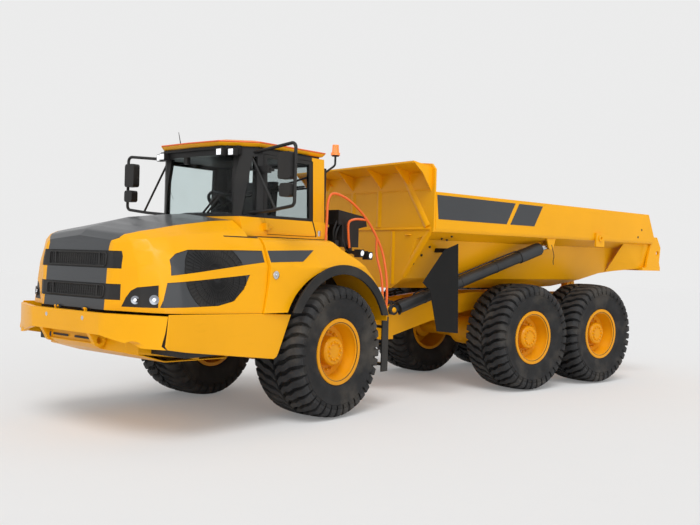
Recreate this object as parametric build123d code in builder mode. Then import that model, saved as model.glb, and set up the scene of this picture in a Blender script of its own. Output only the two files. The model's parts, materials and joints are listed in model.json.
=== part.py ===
import math
import os

from build123d import *

os.makedirs("parts", exist_ok=True)

# Millimetres. +X is forward, +Y the truck's left and +Z up. The straight truck is drawn with the
# front axle at X = 0, then the rear unit is swung about the hitch pin as the truck is parked.

# Running gear
tyre_radius = 795.0
tyre_width = 725.0
half_track = 1108.0
middle_axle_x = -4175.0
bogie_spacing = 1670.0
rear_axle_x = middle_axle_x - bogie_spacing
bead_radius = 372.0
flange_radius = 396.0
bead_half_width = 300.0
spindle_radius = 90.0
running_clearance = 0.05

# Articulation
hitch_x = -1210.0
hitch_z = 930.0
articulation_at_rest = -13.0
steer_pin_radius = 70.0
roll_tube_radius = 110.0
ear_radius = 150.0
ear_low_z = 640.0
ear_high_z = 1230.0
ear_thickness = 100.0

# Front frame
rail_outer_y = 330.0
rail_thickness = 80.0
rail_bottom_z = 960.0
rail_top_z = 1200.0
rail_front_x = 2704.0

# Towing and lifting eyes
tow_eye_y = 433.0
tow_eye_radius = 35.0
tow_eye_centre = (2640.0, 1010.0)
tow_eye_thickness = 50.0
tail_bore_radius = 40.0
tail_bore = (-7440.0, 2130.0)
tail_plate_y = 1385.0
tail_plate_thickness = 40.0

# Cab
door_front_x = 790.0
door_rear_x = -40.0
door_hinge = (797.0, 985.0)
door_gap = 6.0
door_rear_gap = 20.0
hinge_heights = (2205.0, 2860.0)
hinge_pin_radius = 10.0
hinge_bore_radius = 10.05
hinge_lug_radius = 18.0
hinge_height = 80.0
hinge_cheek = 20.0
cab_rear_x = -270.0
cab_sill_z = 2130.0
cab_belt_z = 2345.0
cab_roof_z = 3130.0
cab_wall = 45.0
cab_floor_z = 1780.0

# Hood
hood_seam_x = 1050.0
hood_seam = [(hood_seam_x, 2118.0), (1060.0, 1800.0), (1110.0, 1550.0), (1190.0, 1285.0)]
hood_bottom_z = 1325.0
hood_side_z = 1780.0
hood_wall = 14.0
hood_bulge = 22.0
grille_half_width = 550.0
skirt_outer_y = 1330.0
skirt_thickness = 15.0
hood_hinge_x = 2695.0
hood_hinge_z = 1325.0
hood_pin_radius = 10.0

# Fender
fender_outer_y = 1450.0
fender_deck_z = 2115.0
fender_wall = 16.0
arch_centre_z = 870.0
arch_radius = 945.0

# Dump body
body_front_x = -2080.0
body_half_width = 1450.0
body_plate = 22.0
tip_pivot_x = -6350.0
tip_pivot_z = 1560.0
tip_pin_radius = 50.0

# Hoist cylinders: ball centre on the frame, eye centre on the body
hoist_foot = (-1950.0, 780.0, 1207.0)
hoist_head = (-4550.0, 1330.0, 2183.0)
hoist_barrel_radius = 85.0
hoist_rod_radius = 50.0
hoist_barrel_end_gap = 150.0
hoist_ball_radius = 45.0

# Steering cylinders: pin on the front frame, eye on the hitch
steer_foot = (-460.0, 400.0)
steer_arm = (-1500.0, 300.0)
steer_barrel_radius = 55.0
steer_rod_radius = 28.0
steer_barrel_length = 650.0
steer_rod_length = 662.0
steer_eye_half_height = 37.0
steer_small_pin_radius = 30.0


def side_plane(y):
    """A plane whose X is the truck's X and whose Y is up, facing right, at the given Y."""
    return Plane.XZ.offset(-y)


def outline(points):
    """A closed face on the sketch plane in use, from its corner points."""
    with BuildLine() as border:
        Polyline(*points, close=True)
    make_face(border.edges())


def swing(point, degrees):
    """A plan point turned about the hitch pin."""
    turn = math.radians(degrees)
    dx = point[0] - hitch_x
    dy = point[1]
    x = hitch_x + dx * math.cos(turn) - dy * math.sin(turn)
    y = dx * math.sin(turn) + dy * math.cos(turn)
    return (x, y)


def block_from_views(side, plan, front):
    """A closed solid whose side, top and front views are the three outlines given."""
    with BuildPart() as form:
        with BuildSketch(side_plane(0)):
            outline(side)
        extrude(amount=4000, both=True)
        with BuildSketch(Plane.XY):
            outline(plan)
        extrude(amount=5000, mode=Mode.INTERSECT)
        with BuildSketch(Plane.YZ):
            outline(front)
        extrude(amount=9000, both=True, mode=Mode.INTERSECT)
    return form.part


def both_sides(points):
    """A plan or front outline mirrored about the truck's centre line."""
    return points + [(a, -b) for a, b in reversed(points) if b != 0]


def both_halves(points):
    """A front outline mirrored about the truck's centre line, where Y is the first number."""
    return points + [(-a, b) for a, b in reversed(points) if a != 0]


front_pieces = []
rear_pieces = []

# Wheels
tyre_profile = [
    (-bead_half_width, bead_radius),
    (-bead_half_width, flange_radius),
    (-322, flange_radius + 1),
    (-355, 480),
    (-tyre_width / 2, 560),
    (-352, 690),
    (-322, 752),
    (-270, 788),
    (-150, tyre_radius),
]
rim_profile = [
    (-322, flange_radius),
    (-bead_half_width, flange_radius),
    (-bead_half_width, bead_radius),
    (bead_half_width, bead_radius),
    (bead_half_width, flange_radius),
    (322, flange_radius),
    (322, 352),
    (262, 338),
    (130, 300),
    (104, 178),
    (225, 172),
    (250, 150),
    (250, 0),
    (150, 0),
    (150, spindle_radius + running_clearance),
    (-40, spindle_radius + running_clearance),
    (-40, 178),
    (64, 178),
    (64, 332),
    (-322, 350),
]

with BuildPart() as tyre_form:
    with BuildSketch(Plane.YZ):
        outline(tyre_profile + [(-y, r) for y, r in reversed(tyre_profile)])
    revolve(axis=Axis.Y)

with BuildPart() as rim_form:
    with BuildSketch(Plane.YZ):
        outline(rim_profile)
    revolve(axis=Axis.Y)

# Each wheel: name, axle X and side of the truck
wheels = [
    ("front_left", 0.0, 1),
    ("front_right", 0.0, -1),
    ("middle_left", middle_axle_x, 1),
    ("middle_right", middle_axle_x, -1),
    ("rear_left", rear_axle_x, 1),
    ("rear_right", rear_axle_x, -1),
]
for wheel, axle_x, hand in wheels:
    facing = 0 if hand > 0 else 180
    with BuildPart() as tyre:
        with Locations(Location((axle_x, hand * half_track, tyre_radius), (0, 0, facing))):
            add(tyre_form.part)
    tyre.part.label = "tyre_" + wheel
    with BuildPart() as rim:
        with Locations(Location((axle_x, hand * half_track, tyre_radius), (0, 0, facing))):
            add(rim_form.part)
    rim.part.label = "rim_" + wheel
    group = front_pieces if axle_x == 0.0 else rear_pieces
    group.append(tyre)
    group.append(rim)

# Front frame: rails, cross members, tapered tail box and the two hitch ears
tail_box_plan = [
    (-380, rail_outer_y),
    (-850, 150),
    (-950, 150),
    (-950, -150),
    (-850, -150),
    (-380, -rail_outer_y),
]
cross_member_x = [-340.0, 1400.0, 2200.0]

with BuildPart() as front_frame:
    for hand in (1, -1):
        with BuildSketch(side_plane(hand * (rail_outer_y - rail_thickness / 2))):
            outline([
                (-380, 760),
                (-380, rail_top_z),
                (rail_front_x, rail_top_z),
                (rail_front_x, 1090),
                (2350, rail_bottom_z),
                (-60, rail_bottom_z),
            ])
        extrude(amount=rail_thickness / 2, both=True)
    for x in cross_member_x:
        with Locations((x, 0, rail_bottom_z + 30)):
            Box(100, 2 * rail_outer_y - 20, 60)
    with BuildSketch(Plane.XY.offset(ear_low_z)):
        outline(tail_box_plan)
    extrude(amount=ear_high_z - ear_low_z)
    for z in (ear_low_z, ear_high_z - ear_thickness):
        with BuildSketch(Plane.XY.offset(z)):
            with BuildLine():
                Polyline((-900, -ear_radius), (hitch_x, -ear_radius))
                RadiusArc((hitch_x, -ear_radius), (hitch_x, ear_radius), ear_radius)
                Polyline((hitch_x, ear_radius), (-900, ear_radius), (-900, -ear_radius))
            make_face()
        extrude(amount=ear_thickness)
    with Locations((hitch_x, 0, (ear_low_z + ear_high_z) / 2)):
        Cylinder(steer_pin_radius, 2000, mode=Mode.SUBTRACT)
    for hand in (1, -1):
        for z in (hitch_z - 75, hitch_z + 45):
            with BuildSketch(Plane.XY.offset(z)):
                with Locations((steer_foot[0], hand * steer_foot[1])):
                    Circle(58)
                with Locations((steer_foot[0] + 20, hand * (steer_foot[1] - 70))):
                    Rectangle(76, 140)
            extrude(amount=30)
        with Locations((steer_foot[0], hand * steer_foot[1], hitch_z)):
            Cylinder(steer_small_pin_radius - running_clearance, 150)
    for hand in (1, -1):
        with BuildSketch(side_plane(hand * (rail_outer_y - rail_thickness + 20))):
            outline([
                (2650, rail_top_z),
                (hood_hinge_x - 17, hood_hinge_z),
                (hood_hinge_x + 8, hood_hinge_z + 10),
                (rail_front_x, rail_top_z),
            ])
        extrude(amount=8, both=True)
        with Locations(Location((hood_hinge_x, hand * 255, hood_hinge_z), (90, 0, 0))):
            Cylinder(hood_pin_radius - running_clearance, 60)
front_frame.part.label = "front_frame"
front_pieces.append(front_frame)

# Stands on the rails that carry the cab floor and the fenders
cab_mount_x = (-150.0, 850.0)
with BuildPart() as body_mounts:
    for x in cab_mount_x:
        for hand in (1, -1):
            with Locations((x, hand * (rail_outer_y - rail_thickness / 2), (rail_top_z + cab_floor_z - cab_wall) / 2)):
                Box(90, 70, cab_floor_z - cab_wall - rail_top_z)
    for hand in (1, -1):
        with Locations((970, hand * (rail_outer_y - rail_thickness / 2), (rail_top_z + 1700) / 2)):
            Box(70, 70, 1700 - rail_top_z)
        with Locations(((940 + hood_seam_x - 8 - fender_wall) / 2, hand * 700, 1670)):
            Box(hood_seam_x - 8 - fender_wall - 940, 820, 60)
    with Locations((-830, 0, ear_high_z + 30)):
        Box(130, 2400, 60)
body_mounts.part.label = "body_mounts"
front_pieces.append(body_mounts)

# Front axle: housing with a centre bulge, brake drums, spindles and two short struts
axle_section = [
    (0, 225),
    (110, 215),
    (210, 150),
    (320, 118),
    (930, 118),
    (960, 190),
    (half_track - 46, 190),
    (half_track - 46, spindle_radius),
    (half_track + 149.5, spindle_radius),
    (half_track + 149.5, 0),
    (0, 0),
]
with BuildPart() as axle_form:
    with BuildSketch(Plane.YZ):
        outline(axle_section)
    revolve(axis=Axis.Y)
    mirror(about=Plane.XZ)

with BuildPart() as front_axle:
    with Locations((0, 0, tyre_radius)):
        add(axle_form.part)
    for hand in (1, -1):
        with Locations((0, hand * (rail_outer_y - rail_thickness / 2), (tyre_radius + 100 + rail_bottom_z) / 2)):
            Cylinder(38, rail_bottom_z - tyre_radius - 100)
front_axle.part.label = "front_axle"
front_pieces.append(front_axle)

with BuildPart() as engine_block:
    with Locations((1800, 0, (rail_bottom_z + 60 + 1800) / 2)):
        Box(1000, 2 * (rail_outer_y - rail_thickness) - 20, 1800 - rail_bottom_z - 60)
engine_block.part.label = "engine_block"
front_pieces.append(engine_block)

# Bumper: a bent beam round the nose, deeper at its corners, with two towing eyes below it
skirt_side = [
    (2466, 1316),
    (2482, 1130),
    (2500, 1010),
    (2470, 975),
    (2240, 935),
    (1580, 850),
    (1010, 778),
    (965, 795),
    (935, 840),
    (745, 1258),
    (1190, 1283),
]
skirt_gap = 6.0
bumper_top_z = 1300.0
bumper_plan = [
    (2764, 0),
    (2764, 600),
    (2748, 700),
    (2700, 860),
    (2640, 1010),
    (2565, 1190),
    (2470, skirt_outer_y),
    (2470, skirt_outer_y - 60),
    (2530, 1130),
    (2585, 985),
    (rail_front_x, 630),
    (rail_front_x, 0),
]
bumper_front = [
    (0, 1085),
    (620, 1085),
    (930, 1020),
    (1090, 982),
    (1600, 965),
    (1600, bumper_top_z),
    (0, bumper_top_z),
]
with BuildPart() as bumper:
    with BuildSketch(Plane.XY.offset(900)):
        outline(bumper_plan)
    extrude(amount=500)
    with BuildSketch(Plane.YZ):
        outline(bumper_front)
    extrude(amount=4000, mode=Mode.INTERSECT)
    with BuildSketch(side_plane(2000)):
        outline(skirt_side)
        offset(amount=skirt_gap)
    extrude(amount=2000, mode=Mode.SUBTRACT)
    mirror(about=Plane.XZ)
    for hand in (1, -1):
        with BuildSketch(side_plane(hand * tow_eye_y)):
            outline([(2560, 1085), (2764, 1085), (2712, 1000), (2570, 1000)])
            with Locations(tow_eye_centre):
                Circle(2 * tow_eye_radius)
        extrude(amount=tow_eye_thickness / 2, both=True)
        with Locations(((2700 + 2560) / 2, hand * tow_eye_y, 1145)):
            Box(140, tow_eye_thickness, 120)
    with Locations(Location((tow_eye_centre[0], 0, tow_eye_centre[1]), (90, 0, 0))):
        Cylinder(tow_eye_radius, 3000, mode=Mode.SUBTRACT)
bumper.part.label = "bumper"
front_pieces.append(bumper)

# Skid pan under the nose: a bent plate on hangers from the rails
skid_plate = 15.0
skid_side = [(2680, 985), (2570, 925), (2345, 868), (2060, 785), (1200, 762)]
skid_plan = both_sides([(2690, 385), (2548, 395), (2490, 680), (2400, 780), (1200, 780)])
with BuildPart() as skid_pan:
    with BuildSketch(side_plane(0)):
        outline(skid_side + [(x, z - skid_plate) for x, z in reversed(skid_side)])
    extrude(amount=1000, both=True)
    with BuildSketch(Plane.XY):
        outline(skid_plan)
    extrude(amount=2000, mode=Mode.INTERSECT)
    for hand in (1, -1):
        with BuildSketch(side_plane(hand * (rail_outer_y - rail_thickness / 2))):
            outline([(1230, rail_bottom_z), (1230, 757), (1350, 760), (1350, rail_bottom_z)])
            outline([(2000, rail_bottom_z), (2000, 778), (2120, 796), (2120, rail_bottom_z)])
        extrude(amount=15, both=True)
skid_pan.part.label = "skid_pan"
front_pieces.append(skid_pan)

# Tanks between rail and skirt, and the skirts that cover them
skirt_inner_y = skirt_outer_y - skirt_thickness
with BuildPart() as side_tanks:
    for hand in (1, -1):
        with Locations((1640, hand * (rail_outer_y + skirt_inner_y) / 2, 1075)):
            Box(1200, skirt_inner_y - rail_outer_y, 400)
side_tanks.part.label = "side_tanks"
front_pieces.append(side_tanks)

with BuildPart() as side_skirts:
    for hand in (1, -1):
        with BuildSketch(side_plane(hand * (skirt_outer_y - skirt_thickness / 2))):
            outline(skirt_side)
        extrude(amount=skirt_thickness / 2, both=True)
side_skirts.part.label = "side_skirts"
front_pieces.append(side_skirts)

# Fenders: cross sections from the hood seam back, each with X and the Y, Z points of the outer side
fender_sections = [
    (1250.0, [(1332, 1292), (1275, 1780), (1165, 2020), (1130, 2075)]),
    (750.0, [(1385, 1292), (1345, 1780), (1220, 2030), (1180, 2085)]),
    (350.0, [(fender_outer_y, 1292), (1435, 1790), (1265, 2040), (1215, 2095)]),
    (-960.0, [(fender_outer_y, 1292), (fender_outer_y, 1825), (1285, 2050), (1220, 2100)]),
]
fender_inner_y = 760.0
fender_side = [
    (hood_seam_x - 8, fender_deck_z),
    (-60, fender_deck_z),
    (-150, 2010),
    (-365, 1880),
    (-600, 1670),
    (-805, 1455),
    (-890, 1310),
    (-910, 1190),
    (-910, 1100),
    (0, 1100),
    (0, 1292),
] + [(x - 8, z) for x, z in reversed(hood_seam[1:])]


def fender_form(inset):
    """The closed left fender, drawn in by the inset."""
    with BuildPart() as form:
        for x, points in fender_sections:
            with BuildSketch(Plane.YZ.offset(x)):
                outline(
                    [(fender_inner_y + inset, 1000), (points[0][0] - inset, 1000)]
                    + [(y - inset, z - inset / 3) for y, z in points]
                    + [(points[-1][0] - 60, fender_deck_z - inset), (fender_inner_y + inset, fender_deck_z - inset)]
                )
        loft(ruled=True)
        with BuildSketch(side_plane(0)):
            outline(fender_side)
            if inset > 0:
                offset(amount=-inset)
        extrude(amount=-2000, mode=Mode.INTERSECT)
    return form.part


fender_outer = fender_form(0.0)
fender_inner = fender_form(fender_wall)
with BuildPart() as fender_void:
    add(fender_inner)
    with Locations((0, 1000, 1120)):
        Box(1770, 900, 100)
    with Locations((-30, 760, 1500)):
        Box(1700, 60, 1170)

with BuildPart() as fender_left:
    add(fender_outer)
    add(fender_void.part, mode=Mode.SUBTRACT)
    with Locations(Location((0, 0, arch_centre_z), (90, 0, 0))):
        Cylinder(arch_radius, 4000, mode=Mode.SUBTRACT)
with BuildPart() as fenders:
    add(fender_left.part)
    mirror(about=Plane.XZ)
    add(body_mounts.part, mode=Mode.SUBTRACT)
fenders.part.label = "fenders"
front_pieces.append(fenders)

# Rubber lips round the wheel arches
with BuildPart() as fender_lips:
    with BuildSketch(side_plane(fender_outer_y)):
        with Locations((0, arch_centre_z)):
            Circle(arch_radius + 12)
            Circle(arch_radius - 100, mode=Mode.SUBTRACT)
        with BuildLine():
            Polyline((-1200, 1180), (900, 1290), (1200, 1500), (1200, 2200), (-1200, 2200), close=True)
        make_face(mode=Mode.INTERSECT)
    extrude(amount=-30)
    mirror(about=Plane.XZ)
fender_lips.part.label = "fender_lips"
front_pieces.append(fender_lips)


# Cab: a wide belt below the windows, a tapered glasshouse above and a floor tub between the fenders
def cab_form(inset):
    """The closed cab body, drawn in by the inset on every side."""
    rear = cab_rear_x + inset
    glasshouse = block_from_views(
        [
            (rear, cab_belt_z - 200),
            (rear, cab_roof_z - inset),
            (960 - inset, cab_roof_z - inset),
            (1075 - inset, cab_belt_z - 200),
        ],
        both_sides([
            (rear, 905 - inset),
            (800 - inset / 2, 895 - inset),
            (1000 - inset, 620 - inset / 2),
            (1050 - inset, 300),
            (1075 - inset, 0),
        ]),
        both_halves([(910 - inset, cab_belt_z - 200), (905 - inset, cab_belt_z), (845 - inset, 4000)]),
    )
    belt = block_from_views(
        [
            (rear, cab_sill_z + inset / 2),
            (rear, cab_belt_z - inset / 4),
            (1185 - inset, cab_belt_z - inset / 4),
            (1185 - inset, cab_sill_z + inset / 2),
        ],
        both_sides([(rear, 965 - inset), (1185 - inset, 965 - inset)]),
        both_halves([(965 - inset, 0), (965 - inset, cab_sill_z + 60), (908 - inset, cab_belt_z)]),
    )
    with BuildPart() as form:
        add(glasshouse)
        add(belt)
        with BuildSketch(Plane.XY.offset(cab_floor_z + inset - cab_wall)):
            with Locations(((rear + 1000 - inset) / 2, 0)):
                Rectangle(1000 - inset - rear, 1400 - 2 * inset)
        extrude(amount=cab_sill_z + 60 - cab_floor_z)
    return form.part


door_outline = [
    (door_rear_x, cab_sill_z + 30),
    (door_rear_x, cab_roof_z - 50),
    (door_front_x, cab_roof_z - 50),
    (door_front_x, cab_sill_z + 30),
]
door_glass_outline = [(10, 2380), (10, 3042), (735, 3042), (735, 2380)]
quarter_glass_outline = [(845, 2375), (845, 3050), (880, 3050), (945, 2375)]
rear_glass_outline = [(-700, 2375), (-700, 3050), (700, 3050), (700, 2375)]
windscreen_outline = [(-600, 2385), (-560, 3075), (560, 3075), (600, 2385)]

cab_outer = cab_form(0.0)
cab_inner = cab_form(cab_wall)


def cab_window(points, low_y, high_y):
    """A prism through one cab side, between two distances from the centre line."""
    with BuildPart() as prism:
        with BuildSketch(side_plane(low_y)):
            outline(points)
        extrude(amount=low_y - high_y)
    return prism.part


def cab_end_window(points, low_x, high_x):
    """A prism through the cab's front or rear, between two X places."""
    with BuildPart() as prism:
        with BuildSketch(Plane.YZ.offset(low_x)):
            outline(points)
        extrude(amount=high_x - low_x)
    return prism.part


door_prism = cab_window(door_outline, 800, 975)
door_glass_prism = cab_window(door_glass_outline, 600, 1000)
quarter_prism = cab_window(quarter_glass_outline, 640, 1000)
windscreen_prism = cab_end_window(windscreen_outline, 850, 1400)
rear_window_prism = cab_end_window(rear_glass_outline, cab_rear_x - 50, cab_rear_x + 100)
with BuildPart() as left_windows:
    add(door_glass_prism)
    add(quarter_prism)
with BuildPart() as right_windows:
    add(left_windows.part)
    mirror(about=Plane.XZ)

with BuildPart() as cab_wall_form:
    add(cab_outer)
    add(cab_inner, mode=Mode.SUBTRACT)

glass_outer = cab_form(16.0)
glass_inner = cab_form(24.0)
with BuildPart() as glass_form:
    add(glass_outer)
    add(glass_inner, mode=Mode.SUBTRACT)

with BuildPart() as door_opening:
    with BuildSketch(side_plane(800)):
        outline(door_outline)
        outline([(x - door_rear_gap + door_gap, z) for x, z in door_outline])
        offset(amount=door_gap)
    extrude(amount=-200)

with BuildPart() as cab_body:
    add(cab_wall_form.part)
    add(right_windows.part, mode=Mode.SUBTRACT)
    add(windscreen_prism, mode=Mode.SUBTRACT)
    add(rear_window_prism, mode=Mode.SUBTRACT)
    add(door_opening.part, mode=Mode.SUBTRACT)

with BuildPart() as frame_region:
    with Locations(((door_rear_x + 1500) / 2, 0, (cab_belt_z + cab_roof_z) / 2)):
        Box(1500 - door_rear_x, 2400, cab_roof_z - cab_belt_z)



def fixed_hinge(base_z):
    """The cab's half of a door hinge: two cheeks with the pin between them, on a post."""
    with BuildPart() as half:
        for z in (base_z, base_z + hinge_height - hinge_cheek):
            with BuildSketch(Plane.XY.offset(z)):
                with Locations(door_hinge):
                    Circle(hinge_lug_radius)
                with Locations((door_hinge[0] + 28, door_hinge[1])):
                    Rectangle(56, 2 * hinge_lug_radius)
            extrude(amount=hinge_cheek)
        with BuildSketch(Plane.XY.offset(base_z)):
            with Locations((door_hinge[0] + 40, door_hinge[1] + hinge_lug_radius)):
                Rectangle(26, 210, align=(Align.CENTER, Align.MAX))
        extrude(amount=hinge_height)
        with Locations((*door_hinge, base_z)):
            Cylinder(hinge_pin_radius, hinge_height, align=(Align.CENTER, Align.CENTER, Align.MIN))
        add(cab_outer, mode=Mode.SUBTRACT)
    return half.part


def moving_hinge(base_z):
    """The door's half of a hinge: one lug round the pin, on an arm."""
    with BuildPart() as half:
        with BuildSketch(Plane.XY.offset(base_z + hinge_cheek + 2)):
            with Locations(door_hinge):
                Circle(hinge_lug_radius)
            with Locations((door_hinge[0] - 28, door_hinge[1])):
                Rectangle(56, 2 * hinge_lug_radius)
            with Locations((door_hinge[0] - 43, door_hinge[1] + hinge_lug_radius)):
                Rectangle(26, 140, align=(Align.CENTER, Align.MAX))
            with Locations(door_hinge):
                Circle(hinge_bore_radius, mode=Mode.SUBTRACT)
        extrude(amount=hinge_height - 2 * hinge_cheek - 4)
        add(cab_outer, mode=Mode.SUBTRACT)
    return half.part


with BuildPart() as cab_shell:
    add(cab_body.part)
    add(frame_region.part, mode=Mode.SUBTRACT)
    add(fixed_hinge(hinge_heights[0]))
cab_shell.part.label = "cab_shell"
front_pieces.append(cab_shell)

with BuildPart() as fixed_panes:
    add(right_windows.part)
    with Locations((0, 1000, 2000)):
        Box(6000, 2000, 4000, mode=Mode.SUBTRACT)
    add(quarter_prism)
    add(windscreen_prism)
    add(rear_window_prism)

with BuildPart() as cab_glass:
    add(glass_form.part)
    add(fixed_panes.part, mode=Mode.INTERSECT)
cab_glass.part.label = "cab_glass"
front_pieces.append(cab_glass)

with BuildPart() as door_form:
    add(cab_wall_form.part)
    add(door_prism, mode=Mode.INTERSECT)
    add(door_glass_prism, mode=Mode.SUBTRACT)

with BuildPart() as cab_door:
    add(door_form.part)
    add(frame_region.part, mode=Mode.SUBTRACT)
    add(moving_hinge(hinge_heights[0]))
cab_door.part.label = "cab_door"
front_pieces.append(cab_door)

with BuildPart() as door_frame:
    add(door_form.part)
    add(frame_region.part, mode=Mode.INTERSECT)
    add(moving_hinge(hinge_heights[1]))
door_frame.part.label = "door_frame"
front_pieces.append(door_frame)

with BuildPart() as door_glass:
    add(glass_form.part)
    add(door_glass_prism, mode=Mode.INTERSECT)
door_glass.part.label = "door_glass"
front_pieces.append(door_glass)

# Cab's upper frame with headliner, hinge and brow; a crowned top and its edge trim
roof_plan = both_sides([(-330, 850), (830, 862), (1165, 520), (1190, 0)])
roof_liner_height = 35.0
roof_edge_z = 3205.0
roof_trim_width = 26.0
roof_trim_height = 18.0
brow_plan = both_sides([(985, 700), (1025, 700), (1025, 590), (1087, 570)])
with BuildPart() as cab_frame:
    with BuildSketch(Plane.XY.offset(cab_roof_z)):
        outline(roof_plan)
        offset(amount=-60)
    extrude(amount=roof_liner_height)
    with BuildSketch(Plane.XY.offset(cab_roof_z - 65)):
        outline(brow_plan)
    extrude(amount=100)
    add(cab_inner, mode=Mode.SUBTRACT)
    add(glass_outer, mode=Mode.SUBTRACT)
    with BuildPart(mode=Mode.PRIVATE) as pillars:
        add(cab_body.part)
        add(frame_region.part, mode=Mode.INTERSECT)
    add(pillars.part)
    add(fixed_hinge(hinge_heights[1]))
cab_frame.part.label = "cab_frame"
front_pieces.append(cab_frame)

with BuildPart() as cab_roof:
    with BuildSketch(Plane.XY.offset(cab_roof_z + roof_liner_height)):
        outline(roof_plan)
        offset(amount=-30)
    with BuildSketch(Plane.XY.offset(roof_edge_z)):
        outline(roof_plan)
    loft(ruled=True)
    with BuildSketch(Plane.XY.offset(roof_edge_z)):
        outline(roof_plan)
        offset(amount=-roof_trim_width)
    extrude(amount=50, taper=72)
cab_roof.part.label = "cab_roof"
front_pieces.append(cab_roof)

with BuildPart() as roof_trim:
    with BuildSketch(Plane.XY.offset(roof_edge_z)):
        outline(roof_plan)
        offset(amount=-roof_trim_width, mode=Mode.SUBTRACT)
    extrude(amount=roof_trim_height)
roof_trim.part.label = "roof_trim"
front_pieces.append(roof_trim)

# Seat, dash and steering wheel
with BuildPart() as cab_interior:
    with BuildSketch(side_plane(0)):
        outline([
            (150, cab_floor_z),
            (150, 2180),
            (70, 2220),
            (-20, 2860),
            (-110, 2860),
            (-60, 2200),
            (-60, 2100),
            (50, 2060),
            (50, cab_floor_z),
        ])
        outline([(150, 2060), (500, 2080), (520, 2180), (150, 2180)])
    extrude(amount=250, both=True)
    with BuildSketch(side_plane(0)):
        outline([(760, cab_floor_z), (740, 2360), (840, 2420), (930, 2400), (930, cab_floor_z)])
    extrude(amount=420, both=True)
    with BuildSketch(side_plane(0)):
        outline([(770, 2330), (590, 2510), (630, 2550), (810, 2380)])
    extrude(amount=45, both=True)
    with Locations(Location((615, 0, 2540), (0, -42, 0))):
        Cylinder(210, 34)
        Cylinder(178, 34, mode=Mode.SUBTRACT)
        Box(400, 60, 20)
    with Locations((450, 0, cab_floor_z + 10)):
        Box(800, 500, 20)
cab_interior.part.label = "cab_interior"
front_pieces.append(cab_interior)


# Hood: cross sections, each with X, the Y of foot and side, Y and Z of shoulder and top edge, crown Z
hood_sections = [
    (2680.0, 545.0, 540.0, (525, 1900), (455, 1950), 1965.0),
    (2600.0, 715.0, 690.0, (650, 1915), (560, 2030), 2075.0),
    (2520.0, 985.0, 890.0, (820, 1925), (690, 2090), 2150.0),
    (2400.0, 1190.0, 1065.0, (975, 1935), (760, 2125), 2190.0),
    (2230.0, 1275.0, 1165.0, (1080, 1945), (795, 2160), 2240.0),
    (2000.0, 1300.0, 1215.0, (1125, 1960), (810, 2205), 2300.0),
    (1500.0, 1310.0, 1245.0, (1150, 1990), (815, 2275), 2358.0),
    (hood_seam_x, 1315.0, 1262.0, (1160, 2030), (815, 2310), 2392.0),
]


def hood_form(inset):
    """The closed hood body, drawn in by the inset except at its open underside."""
    with BuildPart() as form:
        for x, foot_y, side_y, shoulder, edge, crown_z in hood_sections:
            place = x - inset if x == hood_sections[0][0] else x
            round_y = (shoulder[0] + edge[0]) / 2 + hood_bulge
            round_z = (shoulder[1] + edge[1]) / 2 + hood_bulge
            with BuildSketch(Plane.YZ.offset(place)):
                outline(both_halves([
                    (foot_y - inset, hood_bottom_z - 200),
                    (foot_y - inset, hood_bottom_z),
                    (side_y - inset, hood_side_z),
                    (shoulder[0] - inset, shoulder[1]),
                    (round_y - inset * 0.7, round_z - inset * 0.7),
                    (edge[0] - inset / 2, edge[1] - inset),
                    (0, crown_z - inset),
                ]))
        loft(ruled=True)
        with BuildSketch(side_plane(0)):
            outline([
                (1200, 2118),
                (1200, 3000),
                (2560 - inset, 3000),
                (2600 - inset, 2035),
                (2622 - inset, 1945),
                (2665 - inset, hood_bottom_z - inset),
                (hood_seam[-1][0], hood_seam[-1][1] - inset),
            ] + hood_seam[-2::-1])
        extrude(amount=3000, both=True, mode=Mode.INTERSECT)
    return form.part


grille_openings = [(1430.0, 1590.0), (1745.0, 1922.0)]
grille_corner_y = 722.0
grille_rear_x = 2572.0
headlamp_outline = [(2592, 1367), (2575, 1460), (2555, 1530), (2530, 1566), (2412, 1592), (2432, 1369)]
upper_vent_outline = [
    (2305, 1688),
    (2290, 1846),
    (2225, 1908),
    (2075, 1952),
    (1500, 1962),
    (1085, 1966),
    (1088, 1838),
    (1363, 1808),
]
lower_vent_outline = [(2425, 1372), (2345, 1617), (1330, 1703), (1430, 1549), (1585, 1425), (1800, 1382)]
vent_outlines = [upper_vent_outline, lower_vent_outline]
vent_mesh_centre = (1780.0, 1680.0)
vent_mesh_radius = 390.0


def hood_prism(points):
    """Prisms through both hood sides."""
    with BuildPart() as prism:
        with BuildSketch(side_plane(500)):
            outline(points)
        extrude(amount=-900)
        mirror(about=Plane.XZ)
    return prism.part


headlamp_prism = hood_prism(headlamp_outline)
vent_prisms = [hood_prism(vent) for vent in vent_outlines]
hood_outer = hood_form(0.0)
hood_inner = hood_form(hood_wall)
hood_recess_outer = hood_form(8.0)
hood_recess_inner = hood_form(30.0)

with BuildPart() as hood_wall_form:
    add(hood_outer)
    add(hood_inner, mode=Mode.SUBTRACT)
    for low, high in grille_openings:
        with Locations(((grille_rear_x + 2700) / 2, 0, (low + high) / 2)):
            Box(2700 - grille_rear_x, 2 * grille_corner_y, high - low, mode=Mode.SUBTRACT)
    add(headlamp_prism, mode=Mode.SUBTRACT)
    for vent in vent_prisms:
        add(vent, mode=Mode.SUBTRACT)

hood_top_plan = both_sides([
    (800, 812),
    (2000, 808),
    (2250, 788),
    (2450, 715),
    (2560, 635),
    (2610, grille_half_width),
    (2750, grille_half_width),
])
with BuildPart() as hood_top_region:
    with BuildSketch(Plane.XY.offset(grille_openings[1][1] + 14)):
        outline(hood_top_plan)
    extrude(amount=800)
    with Locations((2700, 0, 1640)):
        Box(200, 2 * grille_half_width, 700)

with BuildPart() as hood_shell:
    add(hood_wall_form.part)
    add(hood_top_region.part, mode=Mode.SUBTRACT)
hood_shell.part.label = "hood_shell"
front_pieces.append(hood_shell)

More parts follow.
